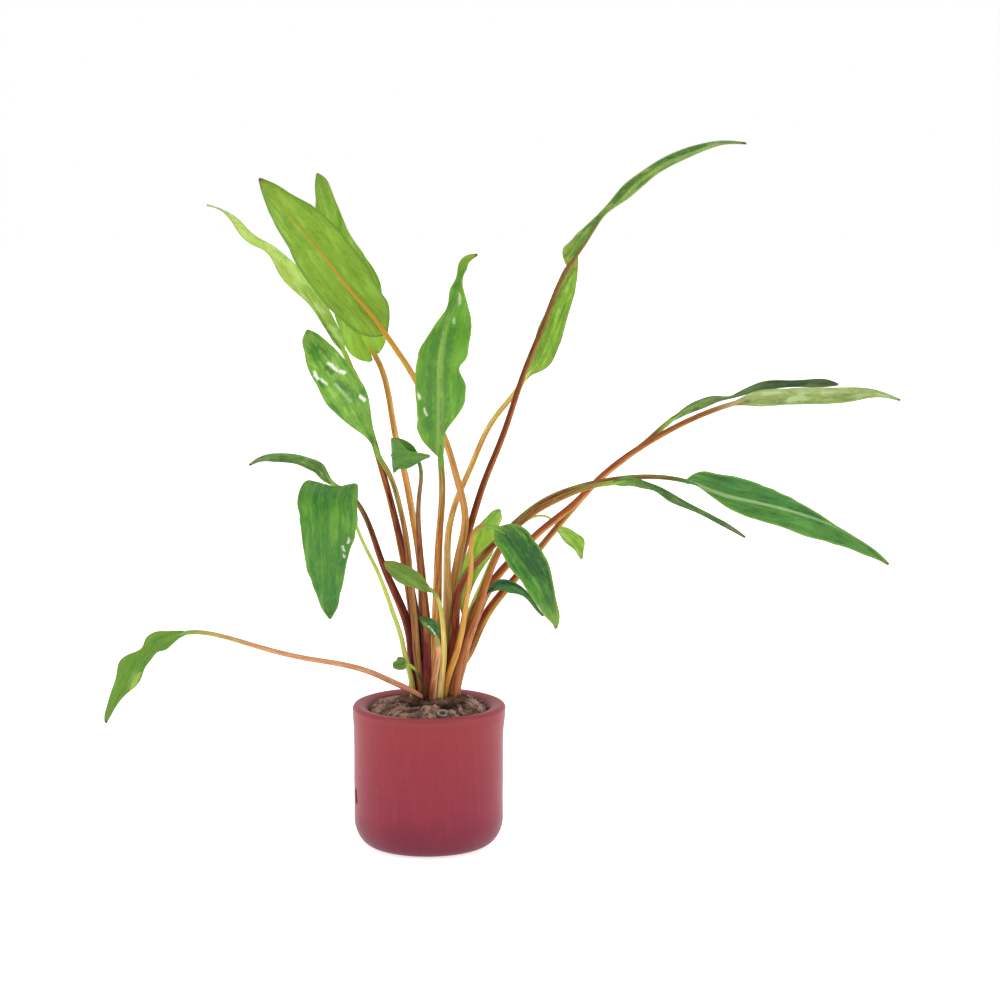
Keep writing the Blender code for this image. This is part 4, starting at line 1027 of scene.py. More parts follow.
LOOKS = {
    "lime_broad": LeafLook(
        # the darker margin here is painted shade at the edges of the cupped blade
        BladeFinish("#86AC33", "#88AE38", "#95AE39", "#87A332", "#6F9627", "#A2C94B", "#678C2E",
                    rib="#BC8C2E", rib_share=0.85, rib_mm=0.8, margin_mm=1.8),
        StalkFinish("#94502F", "#CC9468", "#DCA062", "#BE9834", "#D09850",
                    "#AC8238", "#B46A34"), 0.035, midrib=0.55),
    "lime_behind": LeafLook(
        BladeFinish("#8FB936", "#95BF43", "#9CC83A", "#7E9838", "#6C9F2F", "#B5DD5F", "#93B344"),
        StalkFinish("#541518", "#661A1A", "#DC923C", "#A6822A", "#A0602A",
                    "#E4C288", "#8A4016"), 0.01, (8.5, 7.0)),
    "pale_narrow": LeafLook(
        BladeFinish("#C9E06F", "#D7F087", "#8FBC2C", "#B1B599", "#B0CD59", "#E5F6AF", "#B2C66B",
                    base_reach=0.45, cloud_mm=3.5, through=0.35),
        StalkFinish("#461014", "#5C1518", "#8E4420", "#789A40", "#C0803E",
                    "#4A1A1C", "#440C12"), 0.0, swell=0.65, strokes=(
            Stroke(Touch.DARK, (0.0, -0.8), (0.16, -0.8), 0.5, 0.6),)),
    "speckled": LeafLook(
        BladeFinish("#78AA3C", "#77A43B", "#74A134", "#72983C", "#357928", "#9FCF5C", "#81A83A",
                    clouds=0.8, cloud_mm=4.0, pale="#F0F4E4"),
        StalkFinish("#8A5A2C", "#A4703A", "#8E5A2C", "#84903E", "#8E4A26",
                    "#B8904E", "#5C2814"), 0.0, swell=0.15, strokes=(
            Stroke(Touch.PALE, (0.72, -0.76), (0.68, -0.74), 0.75),
            Stroke(Touch.PALE, (0.67, -0.7), (0.61, -0.55), 0.4),
            Stroke(Touch.DARK, (0.7, -0.15), (0.66, 0.05), 1.2, 0.5),
            Stroke(Touch.DARK, (0.58, 0.0), (0.5, 0.2), 1.4, 0.5),
            Stroke(Touch.PALE, (0.73, 0.05), (0.69, 0.2), 0.6),
            Stroke(Touch.PALE, (0.69, 0.2), (0.65, 0.22), 0.7),
            Stroke(Touch.PALE, (0.65, 0.22), (0.61, 0.5), 0.55),
            Stroke(Touch.PALE, (0.42, 0.58), (0.39, 0.72), 0.55),
            Stroke(Touch.PALE, (0.58, -0.2), (0.42, 0.0), 0.5, 0.3),
            Stroke(Touch.DARK, (0.6, 0.0), (0.45, 0.3), 1.3, 0.4),
            Stroke(Touch.DARK, (0.85, 0.2), (0.75, 0.35), 1.0, 0.5))),
    "wavy_centre": LeafLook(
        BladeFinish("#57902C", "#66A02F", "#618D31", "#8EA22D", "#4C8B2D", "#7DB33B", "#9BBF41",
                    rib="#9CC060", rib_share=0.55, rib_mm=2.2, clouds=0.65),
        StalkFinish("#8E6238", "#B06A28", "#C47A2E", "#74782A", "#CDA070",
                    "#8A4E1E", "#7C3E16"), 0.03, strokes=(
            Stroke(Touch.PALE, (0.31, -0.9), (0.29, -0.84), 0.5),
            Stroke(Touch.PALE, (0.24, -0.68), (0.21, -0.6), 0.45),
            Stroke(Touch.PALE, (0.77, 0.3), (0.73, 0.36), 0.6, 0.6),
            Stroke(Touch.PALE, (0.66, 0.2), (0.64, 0.24), 0.5, 0.6),
            Stroke(Touch.DARK, (0.12, 0.36), (0.6, 0.3), 1.4, 0.35),
            Stroke(Touch.DARK, (0.15, -0.5), (0.6, -0.5), 1.6, 0.3),
            Stroke(Touch.DARK, (0.6, -0.3), (0.8, -0.2), 1.3, 0.3))),
    "small_triangle": LeafLook(
        BladeFinish("#3C712D", "#609035", "#568837", "#74913D", "#165122", "#77AA4B", "#6E9F3A"),
        StalkFinish("#8A3A24", "#6A2024", "#A86A34", "#A08A54", "#541420",
                    "#9A5A34", "#5C1620"), 0.0),
    "arching_left": LeafLook(
        BladeFinish("#5A8A34", "#7FA556", "#8FAE50", "#7A8A58", "#3C6A26", "#B0C890", "#86A05C",
                    cloud_mm=3.0),
        StalkFinish("#6E2E20", "#601818", "#78341C", "#7E7E34", "#A05A2C",
                    "#5E2018", "#46100F"), 0.04),
    "hanging_dark": LeafLook(
        BladeFinish("#5A9235", "#548B33", "#72953B", "#3D6B27", "#28712B", "#88BC48", "#92B64A",
                    rib="#4A8036", rib_share=0.3, clouds=0.7, cloud_mm=6.0, pale="#EEF3E6"),
        StalkFinish("#6A5A34", "#C0BC5C", "#B0C448", "#A6CC50", "#E8E6A4",
                    "#C4C868", "#8EA038"), 0.0, swell=0.1, strokes=(
            Stroke(Touch.PALE, (0.43, 0.76), (0.46, 0.8), 0.75),
            Stroke(Touch.PALE, (0.5, 0.66), (0.52, 0.74), 0.5),
            Stroke(Touch.PALE, (0.55, 0.74), (0.57, 0.8), 0.5),
            # painted highlight: a pale line along the fold at the top of the blade
            Stroke(Touch.PALE, (0.05, -0.8), (0.05, -0.1), 0.5, 0.5))),
    "tall_arching": LeafLook(
        BladeFinish("#4E7E2E", "#86A850", "#96B040", "#94986A", "#2E6B21", "#A4C060", "#A0B764",
                    rib="#7A5A30", rib_share=0.3, cloud_mm=4.0),
        StalkFinish("#8A5228", "#8E3420", "#762E12", "#74581F", "#6A3E1C",
                    "#AC6C34", "#4E120C"), 0.03, midrib=0.28),
    "lime_under": LeafLook(
        BladeFinish("#7EA33A", "#89B636", "#C0D369", "#94933C", "#63872E", "#B8E35B", "#799C3B",
                    cloud_mm=4.0, dark="#5E7A2C"),
        StalkFinish("#BC8254", "#C48856", "#D4A65A", "#D2B654", "#EACC98",
                    "#C2963E", "#B4783E"), 0.0, strokes=(
            # painted shade: a dark line along the crease where the blade folds
            Stroke(Touch.DARK, (0.9, 0.5), (0.73, -0.25), 0.5, 0.6),
            Stroke(Touch.DARK, (0.73, -0.25), (0.5, -0.75), 0.5, 0.6))),
    "long_pale_right": LeafLook(
        BladeFinish("#B0BF77", "#97AA59", "#A69769", "#A9B867", "#698237", "#D0E5AA", "#A5B66F",
                    cloud_mm=3.5, base_reach=0.14),
        StalkFinish("#7C4426", "#8A2E1C", "#A05022", "#94602E", "#6E3A1C",
                    "#C88E48", "#6A1E14"), 0.02),
    "dark_above_right": LeafLook(
        BladeFinish("#325525", "#163B1A", "#86A848", "#344D1A", "#0E3318", "#567333", "#4A662D",
                    base_reach=0.8, cloud_mm=4.0),
        StalkFinish("#8A4A24", "#8E3A1E", "#8E4E20", "#5E5A26", "#9A6A30",
                    "#B08A3C", "#5E2014"), 0.02),
    "broad_drooping": LeafLook(
        BladeFinish("#3B772D", "#4B8230", "#4A7A2E", "#587E2D", "#1A5A20", "#5E9C42", "#8AB448",
                    rib="#A8C688", rib_share=0.8, rib_mm=1.0, margin_mm=1.1),
        StalkFinish("#7A3020", "#8A2E20", "#7A3E1E", "#6A4422", "#84823A",
                    "#A0562E", "#54160F"), 0.02),
    "narrow_drooping": LeafLook(
        BladeFinish("#446924", "#4E7632", "#7DA232", "#6A6F54", "#204E19", "#709744", "#4D6C2E",
                    cloud_mm=3.5, base_reach=0.3),
        StalkFinish("#8A4A26", "#8E4420", "#94521F", "#86762C", "#7C7030",
                    "#B46C36", "#5E1E14"), 0.04),
    "front_hanging": LeafLook(
        BladeFinish("#2F6429", "#4C8A33", "#6FA03A", "#8AA648", "#044923", "#78AE40", "#8FAA42",
                    rib="#235428", rib_share=0.4, clouds=0.8, margin_mm=1.2, tip_reach=0.3),
        StalkFinish("#B0742E", "#DC9848", "#D49E4C", "#8C7A30", "#A8642A",
                    "#C8A44A", "#A4642A"), 0.02, swell=0.1, strokes=(
            Stroke(Touch.DARK, (0.15, -0.35), (0.5, -0.4), 1.5, 0.4),
            Stroke(Touch.DARK, (0.1, 0.2), (0.5, 0.15), 1.9, 0.45))),
    "lime_upright": LeafLook(
        BladeFinish("#A6CF42", "#A8CC44", "#B8A040", "#69AA41", "#6CA539", "#D0EA60", "#8AB542"),
        StalkFinish("#A87038", "#C88C48", "#B8A048", "#A0B844", "#A87038",
                    "#C49E5C", "#A86830"), 0.0),
    "small_lime": LeafLook(
        BladeFinish("#9CC84A", "#90B83C", "#A6C850", "#8AA844", "#78A034", "#C4E97A", "#A4C45A",
                    cloud_mm=3.0),
        StalkFinish("#8A6440", "#D8BA72", "#B8C864", "#A4C45C", "#DCCB86",
                    "#A8B050", "#A09A44"), 0.0),
    "low_dark": LeafLook(
        BladeFinish("#245430", "#3E7A3A", "#1A3414", "#4E7A3C", "#0E3E24", "#5E9048", "#4E8040",
                    cloud_mm=3.0),
        StalkFinish("#7C4A3C", "#C88E5C", "#B27844", "#2E5A2C", "#DCB080",
                    "#B87440", "#9A5230"), 0.02),
    "small_front": LeafLook(
        BladeFinish("#67892E", "#66842E", "#7C8C3B", "#8F8C38", "#557F29", "#80A23D", "#8C8D3C",
                    cloud_mm=3.5),
        StalkFinish("#94703F", "#E6C27C", "#E4D870", "#A6C83C", "#F2D6A4",
                    "#B09A40", "#C4AA50"), 0.03, swell=0.25),
    "tiny_dark": LeafLook(
        BladeFinish("#4D6E2C", "#335F21", "#8E8F49", "#483A16", "#044F22", "#86AB4F", "#48591C",
                    cloud_mm=2.0, pale="#DDE8D4"),
        StalkFinish("#94683F", "#8C4A2E", "#C88C58", "#D8A070", "#B06C44",
                    "#E0B488", "#7E4224"), 0.0, strokes=(
            # painted highlight: a white glint drawn along the dark blade
            Stroke(Touch.PALE, (0.6, -0.35), (0.12, -0.2), 0.24),)),
    "tiny_round": LeafLook(
        BladeFinish("#617E33", "#5B8029", "#89AB44", "#6E8F47", "#427027", "#83A747", "#809D51",
                    cloud_mm=2.0),
        StalkFinish("#64443A", "#5E3A30", "#54401E", "#6E8A3A", "#6A4A30",
                    "#4A3218", "#40281A"), 0.0, swell=0.0),
    "low_left": LeafLook(
        BladeFinish("#659333", "#709934", "#739D3F", "#7A9831", "#558A2F", "#83B045", "#789738",
                    cloud_mm=4.0, pale="#AECE5C"),
        # the dark foot colour is painted shade where the stalk's end goes into shadow by the plug
        StalkFinish("#5A2A30", "#A8603F", "#C48A48", "#9CA446", "#8E5240",
                    "#D09A74", "#9A5438"), 0.03, swell=0.0, strokes=(
            Stroke(Touch.PALE, (0.5, -0.75), (0.62, -0.8), 1.2, 0.7),)),
}


@dataclass
class Surface:
    """Points in millimetres, the faces between them, and named values for each point."""

    points: np.ndarray
    faces: list[tuple[int, ...]]
    values: dict[str, np.ndarray] = field(default_factory=dict)


def make_mesh(name: str, surface: Surface, material: bpy.types.Material) -> bpy.types.Object:
    """Make a smooth mesh object with outward normals from a surface.

    Args:
        name: The object's name.
        surface: Its points, faces and values.
        material: Its only material.

    Returns:
        The new object, linked to the scene.
    """
    mesh = bpy.data.meshes.new(name)
    mesh.from_pydata((surface.points * 0.001).tolist(), [], surface.faces)
    for key, values in surface.values.items():
        plain = values.ndim == 1
        layer = mesh.attributes.new(key, "FLOAT" if plain else "FLOAT_VECTOR", "POINT")
        layer.data.foreach_set("value" if plain else "vector", values.astype(np.float32).ravel())
    builder = bmesh.new()
    builder.from_mesh(mesh)
    bmesh.ops.recalc_face_normals(builder, faces=builder.faces)
    builder.to_mesh(mesh)
    builder.free()
    mesh.shade_smooth()
    mesh.materials.append(material)
    item = bpy.data.objects.new(name, mesh)
    bpy.context.collection.objects.link(item)
    return item


def register(piece: bpy.types.Object, node: str) -> None:
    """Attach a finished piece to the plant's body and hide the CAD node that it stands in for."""
    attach(piece, BODY)
    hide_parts(node)
    LOG.info("%s: %d faces for %s", piece.name, len(piece.data.polygons), node)


def soft_noise(points: np.ndarray, size: float, seed: int) -> np.ndarray:
    """Smooth noise from -1 to 1.

    Args:
        points: Places to sample, one per row.
        size: The size of its lumps, in the points' own unit.
        seed: Chooses the pattern.

    Returns:
        One value per point.
    """
    place = points / size
    cell = np.floor(place).astype(np.int64)
    part = place - cell
    ease = part * part * (3 - 2 * part)
    total = np.zeros(len(points))
    for corner in np.ndindex(2, 2, 2):
        key = cell + corner
        mixed = key[:, 0] * 73856093 ^ key[:, 1] * 19349663 ^ key[:, 2] * 83492791
        mixed = (mixed ^ seed * 2654435761) & 0x7FFFFFFF
        for factor, shift in ((1103515245, 15), (69069, 13)):
            mixed = (mixed * factor + 12345) & 0x7FFFFFFF
            mixed = mixed ^ (mixed >> shift)
        weight = np.prod(np.where(np.array(corner) == 1, ease, 1 - ease), axis=1)
        total += weight * (mixed / 0x3FFFFFFF - 1)
    return total


def natural_spline(knots: np.ndarray, values: np.ndarray) -> np.ndarray:
    """Second derivatives of a cubic through values at knots with free ends."""
    count = len(knots)
    matrix = np.zeros((count, count))
    right = np.zeros((count, values.shape[1]))
    matrix[0, 0] = matrix[-1, -1] = 1.0
    steps = np.diff(knots)
    for i in range(1, count - 1):
        matrix[i, i - 1:i + 2] = (steps[i - 1], 2 * (steps[i - 1] + steps[i]), steps[i])
        right[i] = 6 * ((values[i + 1] - values[i]) / steps[i]
                        - (values[i] - values[i - 1]) / steps[i - 1])
    return np.linalg.solve(matrix, right)


def spline_at(knots: np.ndarray, values: np.ndarray, places: np.ndarray) -> np.ndarray:
    """Points of the smooth curve through values, at the given places along the knots."""
    bends = natural_spline(knots, values)
    index = np.clip(np.searchsorted(knots, places, side="right") - 1, 0, len(knots) - 2)
    step = (knots[index + 1] - knots[index])[:, None]
    ahead = (knots[index + 1][:, None] - places[:, None]) / step
    behind = 1 - ahead
    return (ahead * values[index] + behind * values[index + 1]
            + ((ahead ** 3 - ahead) * bends[index]
               + (behind ** 3 - behind) * bends[index + 1]) * step ** 2 / 6)


def lengths_along(points: np.ndarray) -> np.ndarray:
    """Running length along a line of points."""
    return np.concatenate([[0.0], np.cumsum(np.linalg.norm(np.diff(points, axis=0), axis=1))])


def evenly(points: np.ndarray, count: int) -> np.ndarray:
    """The line of points again, as count points at even steps."""
    run = lengths_along(points)
    places = np.linspace(0.0, run[-1], count)
    return np.stack([np.interp(places, run, points[:, axis]) for axis in range(3)], axis=1)


def unit(vectors: np.ndarray) -> np.ndarray:
    """Vectors scaled to length 1."""
    return vectors / np.linalg.norm(vectors, axis=-1, keepdims=True)


def eased(value: np.ndarray, start: float, end: float) -> np.ndarray:
    """0 at start and 1 at end, smooth between; start may be the larger."""
    share = np.clip((value - start) / (end - start), 0.0, 1.0)
    return share * share * (3 - 2 * share)


def smooth_route(points: Any, neck_index: int | None = None) -> Any:
    """A fine smooth line through route points.

    Args:
        points: The points to pass through, in millimetres.
        neck_index: Where to part the line in two, or None for one line.

    Returns:
        The line, or the part up to neck_index and the part after it.
    """
    values = np.array(points, dtype=float)
    knots = lengths_along(values)
    fine = np.unique(np.concatenate([np.linspace(0, knots[-1], ROUTE_SAMPLES), knots]))
    line = spline_at(knots, values, fine)
    if neck_index is None:
        return line
    cut = int(np.searchsorted(fine, knots[neck_index]))
    return line[:cut + 1], line[cut:]


def tube(line: np.ndarray, radii: np.ndarray, sides: int, start: Any = None) -> Surface:
    """A closed tube along a line.

    Args:
        line: The tube's centre line.
        radii: Its radius at each point of the line.
        sides: How many sides it has.
        start: The direction that its first ring faces, or None for the line's own.

    Returns:
        The tube, with tube_around (a unit circle) and tube_along (mm) for each point.
    """
    tangents = unit(np.gradient(line, axis=0))
    if start is not None:
        tangents[0] = start
    across = unit(np.cross(tangents[0], (0.3, 1.0, 0.1)))
    angles = 2 * math.pi * np.arange(sides) / sides
    circle = np.stack([np.cos(angles), np.sin(angles)], axis=1)
    rings = []
    for place, tangent, radius in zip(line, tangents, radii):
        across = unit(across - tangent * np.dot(across, tangent))
        other = np.cross(tangent, across)
        rings.append(place + radius * (circle[:, :1] * across + circle[:, 1:] * other))
    count = len(line)
    faces = [tuple(range(sides)), tuple((count - 1) * sides + i for i in range(sides))]
    for ring in range(count - 1):
        low = ring * sides
        for side in range(sides):
            after = (side + 1) % sides
            faces.append((low + side, low + after, low + sides + after, low + sides + side))
    run = np.repeat(lengths_along(line), sides)
    return Surface(np.concatenate(rings), faces,
                   {"tube_around": np.tile(circle, (count, 1)), "tube_along": run})


def turned(profile: list[tuple[float, float]], sides: int) -> Surface:
    """A solid turned about Z from a profile that starts and ends on the axis."""
    angles = 2 * math.pi * np.arange(sides) / sides
    circle = np.stack([np.cos(angles), np.sin(angles)], axis=1)
    rings = [np.column_stack([circle * radius, np.full(sides, height)])
             for radius, height in profile[1:-1]]
    ends = [np.array([[0.0, 0.0, height]]) for height in (profile[0][1], profile[-1][1])]
    last = len(rings) * sides + 1
    faces = []
    for side in range(sides):
        after = (side + 1) % sides
        faces.append((0, 1 + after, 1 + side))
        for ring in range(len(rings) - 1):
            low = 1 + ring * sides
            faces.append((low + side, low + after, low + sides + after, low + sides + side))
        top = 1 + (len(rings) - 1) * sides
        faces.append((top + side, top + after, last))
    return Surface(np.concatenate([ends[0], *rings, ends[1]]), faces)


def arc(centre: tuple[float, float], half_sizes: tuple[float, float], start: float, end: float,
        count: int) -> list[tuple[float, float]]:
    """Points (radius, height) on part of an ellipse, angles in degrees."""
    angles = np.radians(np.linspace(start, end, count))
    return [(centre[0] + half_sizes[0] * math.cos(a), centre[1] + half_sizes[1] * math.sin(a))
            for a in angles]


def plug_height(radius: np.ndarray) -> np.ndarray:
    """Height of the plug's top at distances from the axis."""
    outer = POT_INNER_RADIUS_MM - GAP_MM
    share = np.clip((outer - radius) / (outer - PLUG_SEAT_RADIUS_MM), 0.0, 1.0)
    return PLUG_EDGE_HEIGHT_MM + (PLUG_SEAT_HEIGHT_MM - PLUG_EDGE_HEIGHT_MM) * np.sqrt(share)


@dataclass
class Leaf:
    """One leaf: a ribbed stalk that runs into a veined blade."""

    plan: LeafPlan
    look: LeafLook
    seed: int
    rows: int = 130
    half_columns: int = 20
    stalk_rings: int = 72
    stalk_sides: int = 16
    ripple_mm: float = 0.35
    gather: float = 0.25

    def lines(self) -> tuple[np.ndarray, np.ndarray]:
        """The fine lines of the stalk and of the blade's rib."""
        foot = (*self.plan.foot, CROWN_TOP_MM + GAP_MM)
        return smooth_route((foot, *self.plan.stalk, *self.plan.rib), len(self.plan.stalk))

    def half_widths(self, fractions: np.ndarray) -> np.ndarray:
        """Half widths of the blade, left and right, at fractions of its length."""
        stations = np.array(self.plan.halves, dtype=float)
        fine = spline_at(stations[:, 0], stations[:, 1:], fractions)
        plain = np.stack([np.interp(fractions, stations[:, 0], stations[:, 1 + side])
                          for side in (0, 1)], axis=1)
        return np.clip(fine, plain * WIDTH_BELOW, plain * WIDTH_ABOVE + WIDTH_ABOVE_MM)

    def frame_along(self, line: np.ndarray, fractions: np.ndarray) -> tuple[np.ndarray, np.ndarray]:
        """Directions across the blade.

        Args:
            line: The rib's points.
            fractions: Their places along the blade.

        Returns:
            The direction of the right half and of the upper face, for each point.
        """
        tangents = unit(np.gradient(line, axis=0))
        turns = np.radians(np.interp(fractions, (0, 1), self.plan.turn))[:, None]
        if self.plan.across:
            fixed = np.array(self.plan.across)
            right = unit(fixed - tangents * (tangents @ fixed)[:, None])
        else:
            right = unit(np.cross((0.0, 1.0, 0.0), tangents))
        away = np.cross(tangents, right)
        right = right * np.cos(turns) + away * np.sin(turns)
        upper = np.cross(right, tangents) * (-1.0 if self.plan.under else 1.0)
        return right, upper

    def blade(self) -> Surface:
        """The blade as a thin closed shell with its rib, veins and margin.

        Returns:
            The shell with leaf_place (along, across, half width in mm), leaf_flat (mm along,
            mm across, the leaf's number), leaf_back (1 on the face turned away from the
            front), leaf_dry (1 at a dry tip) and one value for each touch of the strokes.
        """
        fractions = np.linspace(0.0, 1.0, self.rows + 1)
        line = evenly(self.lines()[1], self.rows + 1)
        right, upper = self.frame_along(line, fractions)
        widths = self.half_widths(fractions)
        steps = np.linspace(-1.0, 1.0, 2 * self.half_columns + 1)
        across = np.sign(steps) * np.abs(steps) ** 1.15
        along, place = np.meshgrid(fractions, across, indexing="ij")
        out = np.abs(place)
        half = np.where(place < 0, widths[:, :1], widths[:, 1:])
        length = lengths_along(line)[-1]
        edge = np.stack([along * length, np.sign(place) * 9.0, np.zeros_like(along)], axis=-1)
        notch = soft_noise(edge.reshape(-1, 3), 3.2, self.seed).reshape(out.shape)
        reach = half * place * (1 + 0.03 * notch * eased(half, 1.0, 4.0))
        wave = self.plan.wave[0] * np.sin(2 * math.pi * self.plan.wave[1] * along)
        lift = math.tan(math.radians(self.plan.fold)) * half * out ** FOLD_POWER
        lift += wave * np.minimum(1.0, 5 * along) * place * out
        flat = np.stack([along * length, half * place, np.full_like(along, 3.0)], axis=-1)
        broad = eased(half, 1.5, 6.0)
        ripple = soft_noise(flat.reshape(-1, 3), 5.5, self.seed + 40).reshape(out.shape)
        dent = soft_noise(flat.reshape(-1, 3), 12.0, self.seed + 80).reshape(out.shape)
        lift += broad * (self.ripple_mm * ripple * out ** 2 + 0.45 * dent)
        lift -= 0.07 * broad * np.cos(2 * math.pi * 3.4 * out) * (1 - along)
        rib_mm = np.abs(half * place)
        groove = 0.2 * np.exp(-(rib_mm / 0.5) ** 2) * (1 - 0.7 * along)
        ridge = 0.5 * np.exp(-(rib_mm / 0.45) ** 2) * (1 - 0.8 * along)
        thick = 0.05 + 0.16 * (1 - out ** 3)
        centre = line[:, None] + right[:, None] * reach[..., None]
        lobe = np.where(place < 0, *self.look.lobes_mm) * np.clip(1 - along / 0.25, 0.0, 1.0) ** 2
        lobe = lobe * eased(rib_mm, 0.0, 1.4)
        centre -= unit(np.gradient(line, axis=0))[:, None] * lobe[..., None]
        raised = upper[:, None]
        top = centre + raised * (lift + thick - groove)[..., None]
        bottom = centre + raised * (lift - thick - ridge)[..., None]
        columns = len(across)
        count = (self.rows + 1) * columns
        grid = np.arange(count).reshape(self.rows + 1, columns)
        quads = np.stack([grid[:-1, :-1], grid[:-1, 1:], grid[1:, 1:], grid[1:, :-1]], axis=-1)
        quads = quads.reshape(-1, 4)
        rim = np.concatenate([grid[:-1, 0], grid[-1], grid[-2::-1, -1], grid[0, -2:0:-1]])
        after = np.roll(rim, -1)
        walls = np.stack([rim, after, after + count, rim + count], axis=1)
        faces = np.concatenate([quads, quads[:, ::-1] + count, walls])
        tip = max(self.look.dry, 1e-4)
        ragged = along + 0.012 * ripple
        dry = eased(ragged, 1 - tip, 1 - 0.35 * tip) * (self.look.dry > 0)
        layout = np.stack([along, place, half], axis=-1).reshape(-1, 3)
        flat[..., 2] = 7.0 * self.seed
        flat = flat.reshape(-1, 3)
        backs = (1.0, 0.0) if self.plan.under else (0.0, 1.0)
        values = {"leaf_place": np.tile(layout, (2, 1)), "leaf_flat": np.tile(flat, (2, 1)),
                  "leaf_back": np.repeat(backs, count), "leaf_dry": np.tile(dry.ravel(), 2)}
        for touch in Touch:
            values[touch.value] = np.tile(self.stroked(touch, flat[:, :2], length), 2)
        points = np.concatenate([top.reshape(-1, 3), bottom.reshape(-1, 3)])
        return Surface(points, [tuple(face) for face in faces.tolist()], values)

    def spot(self, place: tuple[float, float], length: float) -> np.ndarray:
        """A place (along, across) of the blade in millimetres along and across it."""
        widths = self.half_widths(np.array([place[0]]))[0]
        return np.array([place[0] * length, place[1] * widths[int(place[1] > 0)]])

    def stroked(self, touch: Touch, flat: np.ndarray, length: float) -> np.ndarray:
        """How much of one kind of stroke each point of the blade has.

        Args:
            touch: The kind of stroke.
            flat: Places in millimetres along and across the blade.
            length: The blade's length in millimetres.

        Returns:
            A value from 0 to 1 for each point.
        """
        total = np.zeros(len(flat))
        for stroke in self.look.strokes:
            if stroke.touch is not touch:
                continue
            start = self.spot(stroke.start, length)
            span = self.spot(stroke.end, length) - start
            share = np.clip((flat - start) @ span / (span @ span), 0.0, 1.0)
            away = np.linalg.norm(flat - start - share[:, None] * span, axis=1)
            away += 0.8 * stroke.radius_mm * soft_noise(np.pad(flat, ((0, 0), (0, 1))), 0.9, 61)
            inside = eased(away, stroke.radius_mm * 1.2, stroke.radius_mm * 0.5)
            total = np.maximum(total, stroke.share * inside)
        return total

    def stalk(self) -> Surface:
        """The stalk as a tube that starts in the crown and tapers into the blade's rib."""
        stem, rib = self.lines()
        run = lengths_along(rib)
        buried = min(5.0, 0.25 * run[-1])
        reach = max(buried, self.look.midrib * run[-1])
        inside = rib[(run > 0.4) & (run < reach)]
        right, upper = self.frame_along(rib[:2], np.zeros(2))
        line = np.vstack([stem, inside - upper[0] * 0.25])
        line = evenly(line, self.stalk_rings)
        places = lengths_along(line)
        neck = lengths_along(stem)[-1]
        narrow = self.plan.radii[1] * (0.7 if self.look.midrib else 0.35)
        radii = np.interp(places, (0.0, neck, neck + buried, neck + reach + 0.1),
                          (*self.plan.radii, narrow, 0.25))
        radii = radii * (1 + self.look.swell * eased(places, 75.0, 6.0))
        away = line[:, :2] - np.array(CROWN_CENTRE_MM)
        line[:, :2] -= away * self.gather * eased(places, 20.0, 0.0)[:, None]
        line[0, 2] -= 2.2
        upright = unit(line[3] - line[0])[2] > 0.7
        shape = tube(line, radii, self.stalk_sides, (0.0, 0.0, 1.0) if upright else None)
        around, along = shape.values["tube_around"], shape.values["tube_along"]
        offset = np.array([self.seed * 3.7, 0.0, 0.0])
        run = np.column_stack([along / neck, -around[:, 0], 0 * along])
        shape.values = {"stalk_run": run,
                        "stalk_place": np.column_stack([around * 1.7, along / 14.0]) + offset}
        return shape

    def build(self) -> list[bpy.types.Object]:
        """Make the leaf's two pieces, the stalk and the blade."""
        name = self.plan.name
        rib = self.look.blade.rib if self.look.midrib else self.look.blade.base
        bark = self.look.stalk.material("stalk_skin_" + name, rib)
        stalk = make_mesh("leaf_stalk_" + name, self.stalk(), bark)
        register(stalk, "stalk_" + name)
        other = self.look.blade.deep if self.plan.under else self.look.blade.fresh
        skin = self.look.blade.material("leaf_skin_" + name, other)
        blade = make_mesh("leaf_blade_" + name, self.blade(), skin)
        register(blade, "blade_" + name)
        return [stalk, blade]


